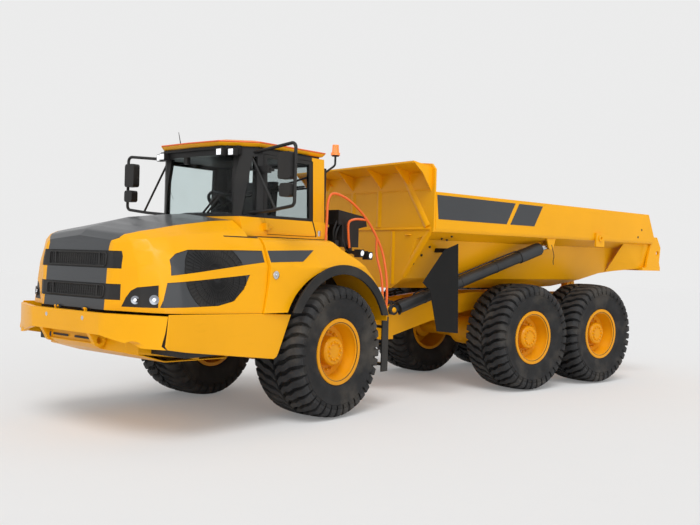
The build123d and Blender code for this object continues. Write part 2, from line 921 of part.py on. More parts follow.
hood_lug_y = 240.0
hood_lug_thickness = 16.0
with BuildPart() as hood_top:
    add(hood_wall_form.part)
    add(hood_top_region.part, mode=Mode.INTERSECT)
    for hand in (1, -1):
        with BuildSketch(side_plane(hand * hood_lug_y)):
            outline([
                (hood_hinge_x, hood_hinge_z + 15),
                (2640, 1345),
                (2640, 1405),
                (2600, 1405),
                (2600, 1330),
                (2640, 1305),
                (hood_hinge_x, hood_hinge_z - 15),
            ])
            with Locations((hood_hinge_x, hood_hinge_z)):
                Circle(15)
                Circle(hood_pin_radius, mode=Mode.SUBTRACT)
        extrude(amount=hood_lug_thickness / 2, both=True)
hood_top.part.label = "hood_top"
front_pieces.append(hood_top)

with BuildPart() as recessed_form:
    add(hood_recess_outer)
    add(hood_recess_inner, mode=Mode.SUBTRACT)

with BuildPart() as grille_region:
    for low, high in grille_openings:
        with Locations(((grille_rear_x + 2700) / 2, 0, (low + high) / 2)):
            Box(2700 - grille_rear_x, 2 * grille_corner_y, high - low)
    for vent in vent_prisms:
        add(vent)

with BuildPart() as vent_panel_region:
    for vent in vent_prisms:
        add(vent)
    with Locations(Location((vent_mesh_centre[0], 0, vent_mesh_centre[1]), (90, 0, 0))):
        Cylinder(vent_mesh_radius, 4000, mode=Mode.SUBTRACT)

with BuildPart() as grilles:
    add(recessed_form.part)
    add(grille_region.part, mode=Mode.INTERSECT)
    add(vent_panel_region.part, mode=Mode.SUBTRACT)
grilles.part.label = "grilles"
front_pieces.append(grilles)

with BuildPart() as hood_vents:
    add(recessed_form.part)
    add(vent_panel_region.part, mode=Mode.INTERSECT)
hood_vents.part.label = "hood_vents"
front_pieces.append(hood_vents)

with BuildPart() as headlamps:
    add(recessed_form.part)
    add(headlamp_prism, mode=Mode.INTERSECT)
headlamps.part.label = "headlamps"
front_pieces.append(headlamps)

# Mirrors on tube frames, each stayed by a slanting strut
mirror_tube = 19.0
mirror_frame_y = 1500.0
with BuildPart() as mirrors:
    for hand in (1, -1):
        with BuildLine():
            FilletPolyline(
                (850, hand * 700, 3090),
                (925, hand * mirror_frame_y, 3165),
                (925, hand * mirror_frame_y, 2470),
                (890, hand * 1120, 2425),
                (880, hand * 720, 2395),
                radius=60,
            )
        with BuildSketch(Plane(origin=(850, hand * 700, 3090), z_dir=(75, hand * 800, 75))):
            Circle(mirror_tube)
        sweep(transition=Transition.ROUND)
        with BuildLine():
            Line((870, hand * 740, 3080), (895, hand * 1180, 2440))
        with BuildSketch(Plane(origin=(870, hand * 740, 3080), z_dir=(25, hand * 440, -640))):
            Circle(mirror_tube * 0.7)
        sweep()
    for hand in (1, -1):
        for z, height, width in ((2910, 300, 190), (2640, 150, 160)):
            with BuildPart(mode=Mode.PRIVATE) as head:
                with Locations((945, hand * (mirror_frame_y - mirror_tube - width / 2 + 5), z)):
                    Box(95, width, height)
                fillet(head.edges().filter_by(Axis.X), radius=35)
            add(head.part)
    add(cab_outer, mode=Mode.SUBTRACT)
mirrors.part.label = "mirrors"
front_pieces.append(mirrors)

# Work lamps under the visor
work_lamp_places = [(1060, 646), (1122, 513)]
with BuildPart() as work_lamps:
    for x, y in work_lamp_places:
        with Locations((x, y, 3088), (x, -y, 3088)):
            Box(70, 100, 84)
work_lamps.part.label = "work_lamps"
front_pieces.append(work_lamps)

# Deck gear behind the cab: battery box, tanks, intake trunk and column, deck lamps, beacon pole
with BuildPart() as deck_gear:
    with Locations((-595, 0, 1395)):
        Box(550, 1400, 210)
    with Locations((-590, 480, 1900)):
        Cylinder(150, 800)
    with Locations((-590, -520, 2100)):
        Cylinder(110, 1200)
    with Locations((-600, 0, 1750)):
        Box(300, 600, 500)
    for hand in (1, -1):
        with BuildSketch(side_plane(hand * 880)):
            outline([
                (-445, 2330),
                (-445, 2515),
                (-1000, 2450),
                (-1030, 2330),
                (-860, 2295),
                (-860, 2050),
                (-520, 2050),
                (-520, 2330),
            ])
        extrude(amount=110, both=True)
        with Locations((-640, hand * 640, 2200)):
            Box(200, 300, 200)
        with Locations((-390, hand * 700, 2420)):
            Box(90, 150, 1240)
        with Locations((-520, hand * 700, 2250)):
            Box(200, 60, 60)
        with Locations((-640, hand * 1180, 1972), (-755, hand * 1225, 1945)):
            Box(90, 90, 100)
        with Locations((-700, hand * 1090, 1985)):
            Box(160, 250, 40)
        with Locations((-700, hand * 960, 2030)):
            Box(60, 60, 130)
    with BuildLine():
        FilletPolyline((-400, 620, 2900), (-812, 600, 3130), (-812, 600, 3262), radius=60)
    with BuildSketch(Plane(origin=(-400, 620, 2900), z_dir=(-412, -20, 230))):
        Circle(14)
    sweep()
    with Locations((-812, 600, 3255)):
        Cylinder(48, 14)
deck_gear.part.label = "deck_gear"
front_pieces.append(deck_gear)

# Beacon lens
with BuildPart() as beacon:
    with Locations((-812, 600, 3262)):
        Cylinder(62, 34, align=(Align.CENTER, Align.CENTER, Align.MIN))
    with Locations((-812, 600, 3296)):
        Cone(50, 42, 104, align=(Align.CENTER, Align.CENTER, Align.MIN))
beacon.part.label = "beacon"
front_pieces.append(beacon)

# Handrails on both fenders and the steps below them
rail_tube = 17.0
handrail_path = [
    (-185, 1010, 2080),
    (-215, 1010, 2640),
    (-300, 1040, 2715),
    (-520, 1120, 2620),
    (-760, 1200, 2400),
    (-960, 1270, 2080),
    (-1005, 1330, 1790),
    (-1000, 1370, 1500),
    (-985, 1370, 1171),
]
inner_rail_path = [(-905, 1252, 2190), (-930, 1235, 1960), (-935, 1330, 1640), (-935, 1362, 1171)]
short_rail_path = [(-760, 1200, 2400), (-610, 1050, 2400), (-600, 1020, 2330), (-640, 1020, 2040)]
with BuildPart() as handrails:
    for hand in (1, -1):
        for path in (handrail_path, inner_rail_path, short_rail_path):
            points = [Vector(x, hand * y, z) for x, y, z in path]
            with BuildLine():
                Polyline(*points)
            with BuildSketch(Plane(origin=points[0], z_dir=points[1] - points[0])):
                Circle(rail_tube)
            sweep(transition=Transition.ROUND)
handrails.part.label = "handrails"
front_pieces.append(handrails)

with BuildPart() as steps:
    for hand in (1, -1):
        for z in (560, 800, 1040):
            with Locations((-980, hand * 1200, z)):
                Box(100, 320, 30)
        for y in (1030, 1370):
            with Locations((-976, hand * y, 820)):
                Box(132, 20, 700)
steps.part.label = "steps"
front_pieces.append(steps)

# Hitch: steering pin, roll tube and the arms that the steering rods push on
with BuildPart() as hitch_yoke:
    with Locations((hitch_x, 0, (ear_low_z + ear_high_z) / 2)):
        Cylinder(steer_pin_radius - running_clearance, ear_high_z - ear_low_z)
        Cylinder(135, ear_high_z - ear_low_z - 2 * ear_thickness - 1)
    with Locations(Location(((hitch_x - 1990) / 2, 0, hitch_z), (0, 90, 0))):
        Cylinder(roll_tube_radius, 1990 + hitch_x)
    for hand in (1, -1):
        for z in (hitch_z - 75, hitch_z + 45):
            with BuildSketch(Plane.XY.offset(z)):
                outline([
                    (hitch_x - 60, 0),
                    (hitch_x - 60, hand * 130),
                    (steer_arm[0] + 40, hand * (steer_arm[1] + 30)),
                    (steer_arm[0] - 60, hand * steer_arm[1]),
                    (hitch_x - 400, hand * 60),
                    (hitch_x - 400, 0),
                ])
                with Locations((steer_arm[0], hand * steer_arm[1])):
                    Circle(55)
            extrude(amount=30)
hitch_yoke.part.label = "hitch_yoke"
rear_pieces.append(hitch_yoke)

# Rear frame: nose housing on the roll tube, two rising rails, cross members, pivot cheeks
housing_front_x = -1680.0
housing_rear_x = -1985.0
rear_rail_outer_y = 450.0
rear_rail_thickness = 90.0
rear_rail_side = [
    (housing_rear_x - 60, 1130),
    (-2947, 1324),
    (-3802, 1430),
    (-6250, 1430),
    (-6450, 1330),
    (-6300, 1180),
    (-3802, 1150),
    (-2973, 1000),
    (-2204, 800),
    (housing_rear_x - 60, 760),
]
with BuildPart() as rear_frame:
    with Locations(Location(((housing_front_x + housing_rear_x) / 2, 0, hitch_z), (0, 90, 0))):
        Cylinder(190, housing_front_x - housing_rear_x)
    with BuildSketch(Plane.XY.offset(760)):
        outline(both_sides([
            (-1800, 175),
            (-1900, 250),
            (-2045, rear_rail_outer_y),
            (-2250, rear_rail_outer_y),
            (-2250, 0),
        ]))
    extrude(amount=370)
    for hand in (1, -1):
        with BuildSketch(side_plane(hand * (rear_rail_outer_y - rear_rail_thickness / 2))):
            outline(rear_rail_side)
        extrude(amount=rear_rail_thickness / 2, both=True)
        with BuildSketch(side_plane(hand * (rear_rail_outer_y - rear_rail_thickness / 2))):
            outline([
                (tip_pivot_x + 350, 1400),
                (tip_pivot_x + 60, tip_pivot_z + 60),
                (tip_pivot_x - 60, tip_pivot_z + 60),
                (tip_pivot_x - 70, 1300),
            ])
        extrude(amount=rear_rail_thickness / 2, both=True)
    for x in (-3200, -5010, -6250):
        with Locations((x, 0, 1250)):
            Box(160, 2 * rear_rail_outer_y - 20, 120)
    for hand in (1, -1):
        with BuildSketch(side_plane(hand * (rear_rail_outer_y - rear_rail_thickness / 2))):
            outline([(-4700, 1180), (-4860, 960), (-5160, 960), (-5320, 1180)])
        extrude(amount=rear_rail_thickness / 2, both=True)
    for hand in (1, -1):
        with Locations((hoist_foot[0] - 10, hand * 250, 1165)):
            Box(110, 90, 90)
        with Locations((hoist_foot[0], hand * hoist_foot[1], hoist_foot[2])):
            Sphere(hoist_ball_radius)
    with Locations(Location((hoist_foot[0], 0, hoist_foot[2]), (90, 0, 0))):
        Cylinder(24, 2 * hoist_foot[1] + 80)
        Cylinder(48, 2 * hoist_foot[1] - 130)
    with Locations(Location((-1990, 0, hitch_z), (0, 90, 0))):
        Cylinder(roll_tube_radius + running_clearance, 700, mode=Mode.SUBTRACT)
    with Locations(Location((tip_pivot_x, 0, tip_pivot_z), (90, 0, 0))):
        Cylinder(tip_pin_radius, 2000, mode=Mode.SUBTRACT)
rear_frame.part.label = "rear_frame"
rear_pieces.append(rear_frame)

# Bogie: a beam on each side joins the two axles
with BuildPart() as bogie_axles:
    for x in (middle_axle_x, rear_axle_x):
        with Locations((x, 0, tyre_radius)):
            add(axle_form.part)
bogie_axles.part.label = "bogie_axles"
rear_pieces.append(bogie_axles)

bogie_centre_x = (middle_axle_x + rear_axle_x) / 2
with BuildPart() as bogie_beams:
    for hand in (1, -1):
        with BuildSketch(side_plane(hand * 560)):
            outline([
                (middle_axle_x + 130, tyre_radius + 60),
                (middle_axle_x + 110, tyre_radius + 200),
                (bogie_centre_x + 250, 1150),
                (bogie_centre_x - 250, 1150),
                (rear_axle_x - 110, tyre_radius + 200),
                (rear_axle_x - 130, tyre_radius + 60),
                (bogie_centre_x, tyre_radius + 60),
            ])
        extrude(amount=70, both=True)
        with Locations(Location((bogie_centre_x, hand * 470, 1050), (90, 0, 0))):
            Cylinder(70, 40)
    add(bogie_axles.part, mode=Mode.SUBTRACT)
bogie_beams.part.label = "bogie_beams"
rear_pieces.append(bogie_beams)

with BuildPart() as drive_shafts:
    with Locations(Location(((middle_axle_x + rear_axle_x) / 2, 0, tyre_radius), (0, 90, 0))):
        Cylinder(60, bogie_spacing - 300)
    add(bogie_axles.part, mode=Mode.SUBTRACT)
drive_shafts.part.label = "drive_shafts"
rear_pieces.append(drive_shafts)


# Dump body: a boat-shaped tub, open at the rear
def tub_form(inset, rear_extra):
    """The closed load body, drawn in by the inset; the rear end may run on to open it."""
    return block_from_views(
        [
            (body_front_x - inset, 2827 + rear_extra),
            (-7080 - rear_extra, 2782 + rear_extra),
            (-7256 - rear_extra, 2401),
            (-7090 - rear_extra, 1860 + inset),
            (-6900 - rear_extra, 1810 + inset),
            (-6460, 1762 + inset),
            (-5530, 1535 + inset),
            (-5030, 1505 + inset),
            (body_front_x - inset, 1505 + inset),
        ],
        both_sides([(body_front_x - inset, 1500), (-9000, 1500)]),
        both_halves([
            (0, 0),
            (600 - inset * 0.7, 0),
            (600 - inset * 0.7, 1505),
            (860 - inset, 1650),
            (1090 - inset, 2190 + inset * 0.3),
            (1425 - inset, 2290 + inset * 0.5),
            (body_half_width - inset, 2340),
            (body_half_width - inset, 4000),
            (0, 4000),
        ]),
    )


tub_outer = tub_form(0.0, 0.0)
tub_inner = tub_form(body_plate, 60.0)
with BuildPart() as dump_tub:
    add(tub_outer)
    add(tub_inner, mode=Mode.SUBTRACT)
dump_tub.part.label = "dump_tub"
rear_pieces.append(dump_tub)

with BuildPart() as headboard:
    with BuildSketch(Plane.YZ.offset(body_front_x + 0.3)):
        outline(both_halves([
            (0, 1500),
            (600, 1500),
            (860, 1650),
            (1090, 2190),
            (1425, 2290),
            (1440, 2340),
            (1440, 3130),
            (1370, 3204),
            (710, 3272),
            (0, 3240),
        ]))
    extrude(amount=30)
    with BuildSketch(side_plane(0)):
        outline([(body_front_x + 30, 3110), (-1725, 3190), (-1725, 3215), (body_front_x + 30, 3160)])
    extrude(amount=1370, both=True)
    for y, depth in ((1375, 350), (930, 330), (330, 330), (-330, 330), (-930, 330), (-1375, 350)):
        with BuildSketch(side_plane(y)):
            outline([
                (body_front_x + 20, 2815 if depth > 340 else 2900),
                (body_front_x + 200, 3070),
                (body_front_x + depth, 3192),
                (body_front_x + 20, 3130),
            ])
        extrude(amount=6, both=True)
headboard.part.label = "headboard"
rear_pieces.append(headboard)

# Tail: side plates that carry the lifting bores, and the pivot ears under the floor
tail_plate_outline = [(-7262, 2406), (-7420, 2406), (-7533, 2228), (-7500, 1969), (-7533, 1880), (-7110, 1880)]
with BuildPart() as tail_brackets:
    for hand in (1, -1):
        with BuildSketch(side_plane(hand * (rear_rail_outer_y - rear_rail_thickness - 35))):
            outline([
                (tip_pivot_x + 200, 1760),
                (tip_pivot_x + 70, tip_pivot_z - 70),
                (tip_pivot_x - 70, tip_pivot_z - 70),
                (tip_pivot_x - 300, 1790),
            ])
        extrude(amount=30, both=True)
        with Locations(Location((tip_pivot_x, hand * (rear_rail_outer_y - 80), tip_pivot_z), (90, 0, 0))):
            Cylinder(tip_pin_radius - running_clearance, 190)
        with BuildSketch(side_plane(hand * tail_plate_y)):
            outline(tail_plate_outline)
        extrude(amount=tail_plate_thickness / 2, both=True)
        for y in (1248, 1400):
            with BuildSketch(side_plane(hand * y)):
                outline([
                    (hoist_head[0] + 65, hoist_head[2]),
                    (hoist_head[0] + 110, 2300),
                    (hoist_head[0] - 110, 2300),
                    (hoist_head[0] - 65, hoist_head[2]),
                ])
                with Locations((hoist_head[0], hoist_head[2])):
                    Circle(65)
            extrude(amount=9, both=True)
    with Locations(((-7533 - 7000) / 2, 0, 1856)):
        Box(533, 2 * tail_plate_y + tail_plate_thickness, 52)
    with Locations(Location((tail_bore[0], 0, tail_bore[1]), (90, 0, 0))):
        Cylinder(tail_bore_radius, 4000, mode=Mode.SUBTRACT)
    add(tub_outer, mode=Mode.SUBTRACT)
tail_brackets.part.label = "tail_brackets"
rear_pieces.append(tail_brackets)

with BuildPart() as wheel_shields:
    for hand in (1, -1):
        with BuildSketch(side_plane(hand * 1300)):
            outline([
                (-2663, 2150),
                (-2704, 900),
                (-2292, 941),
                (-2146, 1499),
                (-2007, 1607),
                (-2400, 2060),
            ])
        extrude(amount=5, both=True)
        with Locations((-2500, hand * 1150, 2050)):
            Box(60, 290, 60)
    add(tub_outer, mode=Mode.SUBTRACT)
wheel_shields.part.label = "wheel_shields"
rear_pieces.append(wheel_shields)


def along(start, end):
    """A location at the start point whose Z runs towards the end point."""
    direction = Vector(*end) - Vector(*start)
    return Plane(origin=start, z_dir=direction).location


# Hoist cylinders
hoist_span = (Vector(*hoist_head) - Vector(*hoist_foot)).length
for side_name, hand in (("left", 1), ("right", -1)):
    foot = (hoist_foot[0], hand * hoist_foot[1], hoist_foot[2])
    head = (hoist_head[0], hand * hoist_head[1], hoist_head[2])
    with BuildPart() as hoist_barrel:
        with Locations(along(foot, head)):
            with Locations((0, 0, 60)):
                Box(70, 50, 80)
            with Locations((0, 0, 90)):
                Cylinder(
                    hoist_barrel_radius,
                    hoist_span - hoist_barrel_end_gap - 90,
                    align=(Align.CENTER, Align.CENTER, Align.MIN),
                )
            with Locations((0, 0, hoist_span - hoist_barrel_end_gap)):
                Cylinder(
                    hoist_rod_radius + running_clearance,
                    hoist_span - hoist_barrel_end_gap - 130,
                    align=(Align.CENTER, Align.CENTER, Align.MAX),
                    mode=Mode.SUBTRACT,
                )
        with Locations(Location(foot, (90, 0, 0))):
            Cylinder(72, 46)
        with Locations(foot):
            Sphere(hoist_ball_radius + running_clearance, mode=Mode.SUBTRACT)
    hoist_barrel.part.label = "hoist_barrel_" + side_name
    rear_pieces.append(hoist_barrel)
    with BuildPart() as hoist_rod:
        with Locations(along(head, foot)):
            Cylinder(
                hoist_rod_radius,
                hoist_span - 150,
                align=(Align.CENTER, Align.CENTER, Align.MIN),
            )
        with Locations(Location(head, (90, 0, 0))):
            Cylinder(62, 76)
    hoist_rod.part.label = "hoist_rod_" + side_name
    rear_pieces.append(hoist_rod)

# Steering cylinders
for side_name, hand in (("left", 1), ("right", -1)):
    foot_x, foot_y = steer_foot[0], hand * steer_foot[1]
    head_x, head_y = swing((steer_arm[0], hand * steer_arm[1]), articulation_at_rest)
    bearing = math.degrees(math.atan2(head_y - foot_y, head_x - foot_x))
    span = math.hypot(head_x - foot_x, head_y - foot_y)
    barrel_place = Location((foot_x, foot_y, hitch_z), (0, 0, bearing))
    with BuildPart() as steer_barrel:
        with Locations(barrel_place):
            Cylinder(55, 2 * steer_eye_half_height)
            with Locations((60, 0, 0)):
                Box(40, 70, 2 * steer_eye_half_height)
            with Locations(Location((70, 0, 0), (0, 90, 0))):
                Cylinder(
                    steer_barrel_radius,
                    steer_barrel_length - 70,
                    align=(Align.CENTER, Align.CENTER, Align.MIN),
                )
            with Locations(Location((steer_barrel_length, 0, 0), (0, 90, 0))):
                Cylinder(
                    steer_rod_radius + running_clearance,
                    steer_barrel_length - 76,
                    align=(Align.CENTER, Align.CENTER, Align.MAX),
                    mode=Mode.SUBTRACT,
                )
            Cylinder(steer_small_pin_radius, 200, mode=Mode.SUBTRACT)
    steer_barrel.part.label = "steer_barrel_" + side_name
    front_pieces.append(steer_barrel)
    with BuildPart() as steer_rod:
        with Locations(barrel_place):
            with Locations(Location((span, 0, 0), (0, 90, 0))):
                Cylinder(steer_rod_radius, steer_rod_length, align=(Align.CENTER, Align.CENTER, Align.MAX))
            with Locations((span, 0, 0)):
                Cylinder(48, 2 * steer_eye_half_height)
    steer_rod.part.label = "steer_rod_" + side_name
    front_pieces.append(steer_rod)

# The rear unit swings to its parked angle, then the box's floor centre becomes the origin
rear_swing = (
    Location((hitch_x, 0, 0)) * Location((0, 0, 0), (0, 0, articulation_at_rest)) * Location((-hitch_x, 0, 0))
)
for piece in rear_pieces:
    piece.part.locate(rear_swing * piece.part.location)
boxes = [piece.part.bounding_box() for piece in front_pieces + rear_pieces]
centre_x = (min(box.min.X for box in boxes) + max(box.max.X for box in boxes)) / 2
centre_y = (min(box.min.Y for box in boxes) + max(box.max.Y for box in boxes)) / 2
for piece in front_pieces + rear_pieces:
    piece.part.locate(Location((-centre_x, -centre_y, 0)) * piece.part.location)
    export_step(piece.part, f"parts/{piece.part.label}.step")
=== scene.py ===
"""Finishes, treaded tyres and trim for an articulated six-wheel dump truck."""

import json
import math

import bmesh
import bpy
from bpy.props import FloatProperty, FloatVectorProperty, IntProperty, PointerProperty
from mathutils import Matrix, Vector
from mathutils.bvhtree import BVHTree

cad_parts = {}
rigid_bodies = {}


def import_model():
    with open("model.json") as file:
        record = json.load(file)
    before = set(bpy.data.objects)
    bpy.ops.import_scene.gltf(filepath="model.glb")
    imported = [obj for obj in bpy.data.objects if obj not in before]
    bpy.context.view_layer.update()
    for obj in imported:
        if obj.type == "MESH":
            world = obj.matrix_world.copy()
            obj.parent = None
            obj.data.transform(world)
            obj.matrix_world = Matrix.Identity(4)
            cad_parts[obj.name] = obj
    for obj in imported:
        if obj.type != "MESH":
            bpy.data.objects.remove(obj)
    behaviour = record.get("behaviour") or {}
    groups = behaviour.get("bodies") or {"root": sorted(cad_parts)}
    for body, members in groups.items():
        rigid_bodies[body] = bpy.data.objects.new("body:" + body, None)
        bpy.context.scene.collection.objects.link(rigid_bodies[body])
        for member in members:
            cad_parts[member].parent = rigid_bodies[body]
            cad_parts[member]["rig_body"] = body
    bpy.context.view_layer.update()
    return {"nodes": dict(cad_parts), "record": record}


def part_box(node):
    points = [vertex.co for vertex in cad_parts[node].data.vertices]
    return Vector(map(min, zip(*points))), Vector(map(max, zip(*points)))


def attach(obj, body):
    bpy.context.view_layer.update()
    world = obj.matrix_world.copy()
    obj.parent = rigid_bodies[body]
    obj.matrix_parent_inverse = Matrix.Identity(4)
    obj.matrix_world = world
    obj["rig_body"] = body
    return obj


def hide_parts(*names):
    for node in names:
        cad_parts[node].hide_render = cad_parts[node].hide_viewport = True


bl_info = {
    "name": "Articulated dump truck",
    "version": (1, 0, 0),
    "blender": (4, 5, 0),
    "location": "3D View > Sidebar > Dump truck",
    "description": "Dresses a six-wheel articulated dump truck with tyres, lamps, trim and paint",
    "category": "Object",
}

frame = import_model()

# Places on the truck: metres from the middle of the front axle on the ground, x forward, y left

left_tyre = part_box("tyre_front_left")
right_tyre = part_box("tyre_front_right")
axle_origin = Vector(
    ((left_tyre[0].x + left_tyre[1].x) / 2, (left_tyre[0].y + right_tyre[1].y) / 2, 0.0)
)
tyre_radius = (left_tyre[1].z - left_tyre[0].z) / 2
half_width = (left_tyre[1].y - left_tyre[0].y) / 2


def box_middle(node):
    low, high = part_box(node)
    return (low + high) / 2


HITCH_X = -1.21
hitch = axle_origin + Vector((HITCH_X, 0.0, 0.0))
rear_axle = (box_middle("tyre_rear_left") + box_middle("tyre_rear_right")) / 2
swing = math.atan2(hitch.y - rear_axle.y, hitch.x - rear_axle.x)
REAR_FRAME = (
    Matrix.Translation(hitch)
    @ Matrix.Rotation(swing, 4, "Z")
    @ Matrix.Translation(axle_origin - hitch)
)
FRONT_FRAME = Matrix.Translation(axle_origin)
FRONT_BODIES = ("front_unit", "hood", "door")
WHEELS = ["front_left", "front_right", "middle_left", "middle_right", "rear_left", "rear_right"]
LEFT, RIGHT = (0.0, 1.0, 0.0), (0.0, -1.0, 0.0)

# Where rays start beyond the truck, and a thin plate's lift from a surface and sink into it
OUTSIDE = 3.5
PLATE_LIFT, PLATE_SINK = 0.003, 0.002
# Corners closer than this are one, and faces flatter than this are one
MERGE_DISTANCE = 0.00005
FLAT_ANGLE = math.radians(0.1)
# Least radius of a turned shape, half the floor's width, and the camera's sensor in millimetres
LEAST_RADIUS = 0.0005
FLOOR_REACH = 60.0
SENSOR_WIDTH = 36.0


# Materials


class Value:
    """A node's output that takes part in sums written as Python."""

    def __init__(self, nodes, socket):
        self.nodes = nodes
        self.socket = socket

    def other(self, name):
        """Another output of the same node."""
        return Value(self.nodes, self.socket.node.outputs[name])

    def sum(self, operation, *terms):
        return self.nodes.node("ShaderNodeMath", {"operation": operation}, dict(enumerate(terms)))

    def __add__(self, other):
        return self.sum("ADD", self, other)

    def __radd__(self, other):
        return self.sum("ADD", other, self)

    def __mul__(self, other):
        return self.sum("MULTIPLY", self, other)


class Nodes:
    """A shader tree, and the one way its nodes are made."""

    def __init__(self, tree):
        self.tree = tree

    def node(self, kind, settings=None, inputs=None, output=0):
        made = self.tree.nodes.new(kind)
        for name, value in (settings or {}).items():
            setattr(made, name, value)
        for name, value in (inputs or {}).items():
            self.feed(made.inputs[name], value)
        return Value(self, made.outputs[output])

    def feed(self, socket, value):
        if isinstance(value, Value):
            self.tree.links.new(value.socket, socket)
        else:
            socket.default_value = value


class Finish(Nodes):
    """A material and its surface."""

    def __init__(self, name):
        self.material = bpy.data.materials.new(name)
        self.material.use_nodes = True
        super().__init__(self.material.node_tree)
        self.shader = self.tree.nodes["Principled BSDF"]
        self.place = self.node("ShaderNodeTexCoord", output="Object")

    def surface(self, **inputs):
        for name, value in inputs.items():
            label = name.replace("_", " ").title().replace("Ior", "IOR")
            self.feed(self.shader.inputs[label], value)
        return self.material

    def noise(self, scale, detail=3.0, place=None):
        return self.node(
            "ShaderNodeTexNoise", None,
            {"Vector": place or self.place, "Scale": scale, "Detail": detail},
        )

    def between(self, value, low, high, start=0.0, end=1.0):
        return self.node(
            "ShaderNodeMapRange", {"clamp": True},
            {"Value": value, "From Min": low, "From Max": high, "To Min": start, "To Max": end},
        )

    def stretched(self, scale):
        return self.node("ShaderNodeMapping", None, {"Vector": self.place, "Scale": scale})

    def height(self):
        return self.node("ShaderNodeSeparateXYZ", None, {0: self.place}, output="Z")

    def mix(self, mask, first, second):
        return self.node("ShaderNodeMix", {"data_type": "RGBA"}, {0: mask, 6: first, 7: second}, output=2)

    def toned(self, mask, colour, low, high):
        """Two shades of a colour, mixed by a mask."""
        return self.mix(mask, shade(colour, low), shade(colour, high))

    def bump(self, value, depth, strength=1.0):
        return self.node(
            "ShaderNodeBump", None,
            {"Height": value, "Distance": depth, "Strength": strength}, output="Normal",
        )


def shade(colour, factor):
    return tuple(min(1.0, part * factor) for part in colour[:3]) + (1.0,)


WHITE = (1.0, 1.0, 1.0, 1.0)
DUST = (0.42, 0.36, 0.28, 1.0)


def paint(name, colour, roughness=0.36, coat=0.1, dust=0.05, dust_top=1.1):
    """Sprayed enamel: orange peel, slow shifts of tone, and road dust that thins out upwards."""
    finish = Finish(name)
    tone = finish.between(finish.noise(0.9, 4.0), 0.35, 0.65)
    speckle = finish.noise(14.0, 6.0)
    low = finish.between(finish.height(), 0.2, dust_top, 1.0, 0.0)
    dusty = finish.between(low * speckle, 0.28, 0.75, 0.0, dust)
    streaks = finish.noise(3.2, 8.0, finish.stretched((1.0, 1.0, 6.0)))
    scuff = finish.between(streaks, 0.62, 0.72, 0.0, 0.12)
    colours = finish.toned(tone, colour, 0.95, 1.04)
    colours = finish.mix(scuff, colours, shade(colour, 0.78))
    return finish.surface(
        base_color=finish.mix(dusty, colours, DUST),
        roughness=roughness + dusty * 0.9 + scuff * 0.6 + speckle * 0.05,
        coat_weight=finish.between(dusty, 0.0, 0.2, coat, 0.0),
        coat_roughness=0.12,
        specular_ior_level=0.2,
        normal=finish.bump(finish.noise(95.0, 2.0), 0.0006),
    )


def satin(name, colour, roughness=0.5, grain=260.0, depth=0.0005, dust=0.12, metal=0.0):
    """Moulded plastic or satin paint with a fine grain."""
    finish = Finish(name)
    cloud = finish.between(finish.noise(2.4, 5.0), 0.35, 0.7)
    low = finish.between(finish.height(), 0.1, 1.5, 1.0, 0.25)
    dusty = cloud * low * dust
    colours = finish.toned(cloud, colour, 0.85, 1.15)
    return finish.surface(
        base_color=finish.mix(dusty, colours, DUST),
        roughness=roughness + cloud * 0.12,
        metallic=metal,
        specular_ior_level=0.3,
        normal=finish.bump(finish.noise(grain, 2.0), depth),
    )


def rubber(name, colour):
    """Tyre rubber: scrubbed on the faces of its lugs, darkened in its grooves as painted shade, with
    patches of dust.
    """
    finish = Finish(name)
    wear_and_groove_shade = finish.node("ShaderNodeAttribute", {"attribute_name": "wear_and_groove_shade"}, output="Fac")
    cloud = finish.noise(7.0, 6.0)
    fine = finish.noise(120.0, 3.0)
    colours = finish.toned(finish.between(cloud, 0.35, 0.7), colour, 0.8, 1.5)
    colours = finish.mix(wear_and_groove_shade * cloud * 0.9, colours, shade(colour, 3.4))
    # Painted shade: where the casing between the lugs is marked -1, the colour darkens towards a quarter of
    # itself
    colours = finish.mix(finish.between(wear_and_groove_shade, -1.0, 0.0, 0.85, 0.0), colours, shade(colour, 0.25))
    dusty = finish.between(finish.noise(3.0, 7.0), 0.5, 0.72, 0.0, 0.1)
    return finish.surface(
        base_color=finish.mix(dusty, colours, DUST),
        roughness=0.62 + fine * 0.2,
        specular_ior_level=0.35,
        normal=finish.bump(fine + cloud * 0.6, 0.002),
    )


def bare_metal(name, colour, roughness):
    """Ground or plated steel with fine marks round the bar."""
    finish = Finish(name)
    marks = finish.noise(60.0, 5.0, finish.stretched((1.0, 1.0, 8.0)))
    return finish.surface(
        base_color=finish.toned(marks, colour, 0.85, 1.1),
        metallic=1.0,
        roughness=roughness + marks * 0.1,
        normal=finish.bump(marks, 0.0002),
    )


def clear_glass(name, tint):
    """Tinted safety glass with a trace of dust."""
    finish = Finish(name)
    haze = finish.between(finish.noise(5.0, 6.0), 0.5, 0.8, 0.0, 0.08)
    return finish.surface(
        base_color=finish.mix(haze, tint, (0.6, 0.6, 0.58, 1.0)),
        roughness=0.02 + haze,
        transmission_weight=1.0,
        ior=1.15,
    )


def lens(name, tint, pitch, emission=0.0):
    """A moulded lamp lens with fluted prisms."""
    finish = Finish(name)
    flutes = finish.node(
        "ShaderNodeTexWave", {"wave_type": "BANDS", "bands_direction": "DIAGONAL"},
        {"Vector": finish.place, "Scale": 1.0 / pitch, "Distortion": 0.0},
    )
    made = finish.surface(
        base_color=finish.toned(flutes, tint, 0.85, 1.1),
        roughness=0.12,
        coat_weight=0.8,
        normal=finish.bump(flutes, 0.001),
    )
    finish.shader.inputs["Emission Color"].default_value = tint
    finish.shader.inputs["Emission Strength"].default_value = emission
    return made


# Mesh building


def circle(middle, across, other, radius, sides):
    """Points round a middle, in the plane of two unit vectors."""
    turns = (2 * math.pi * step / sides for step in range(sides))
    return [middle + (across * math.cos(turn) + other * math.sin(turn)) * radius for turn in turns]


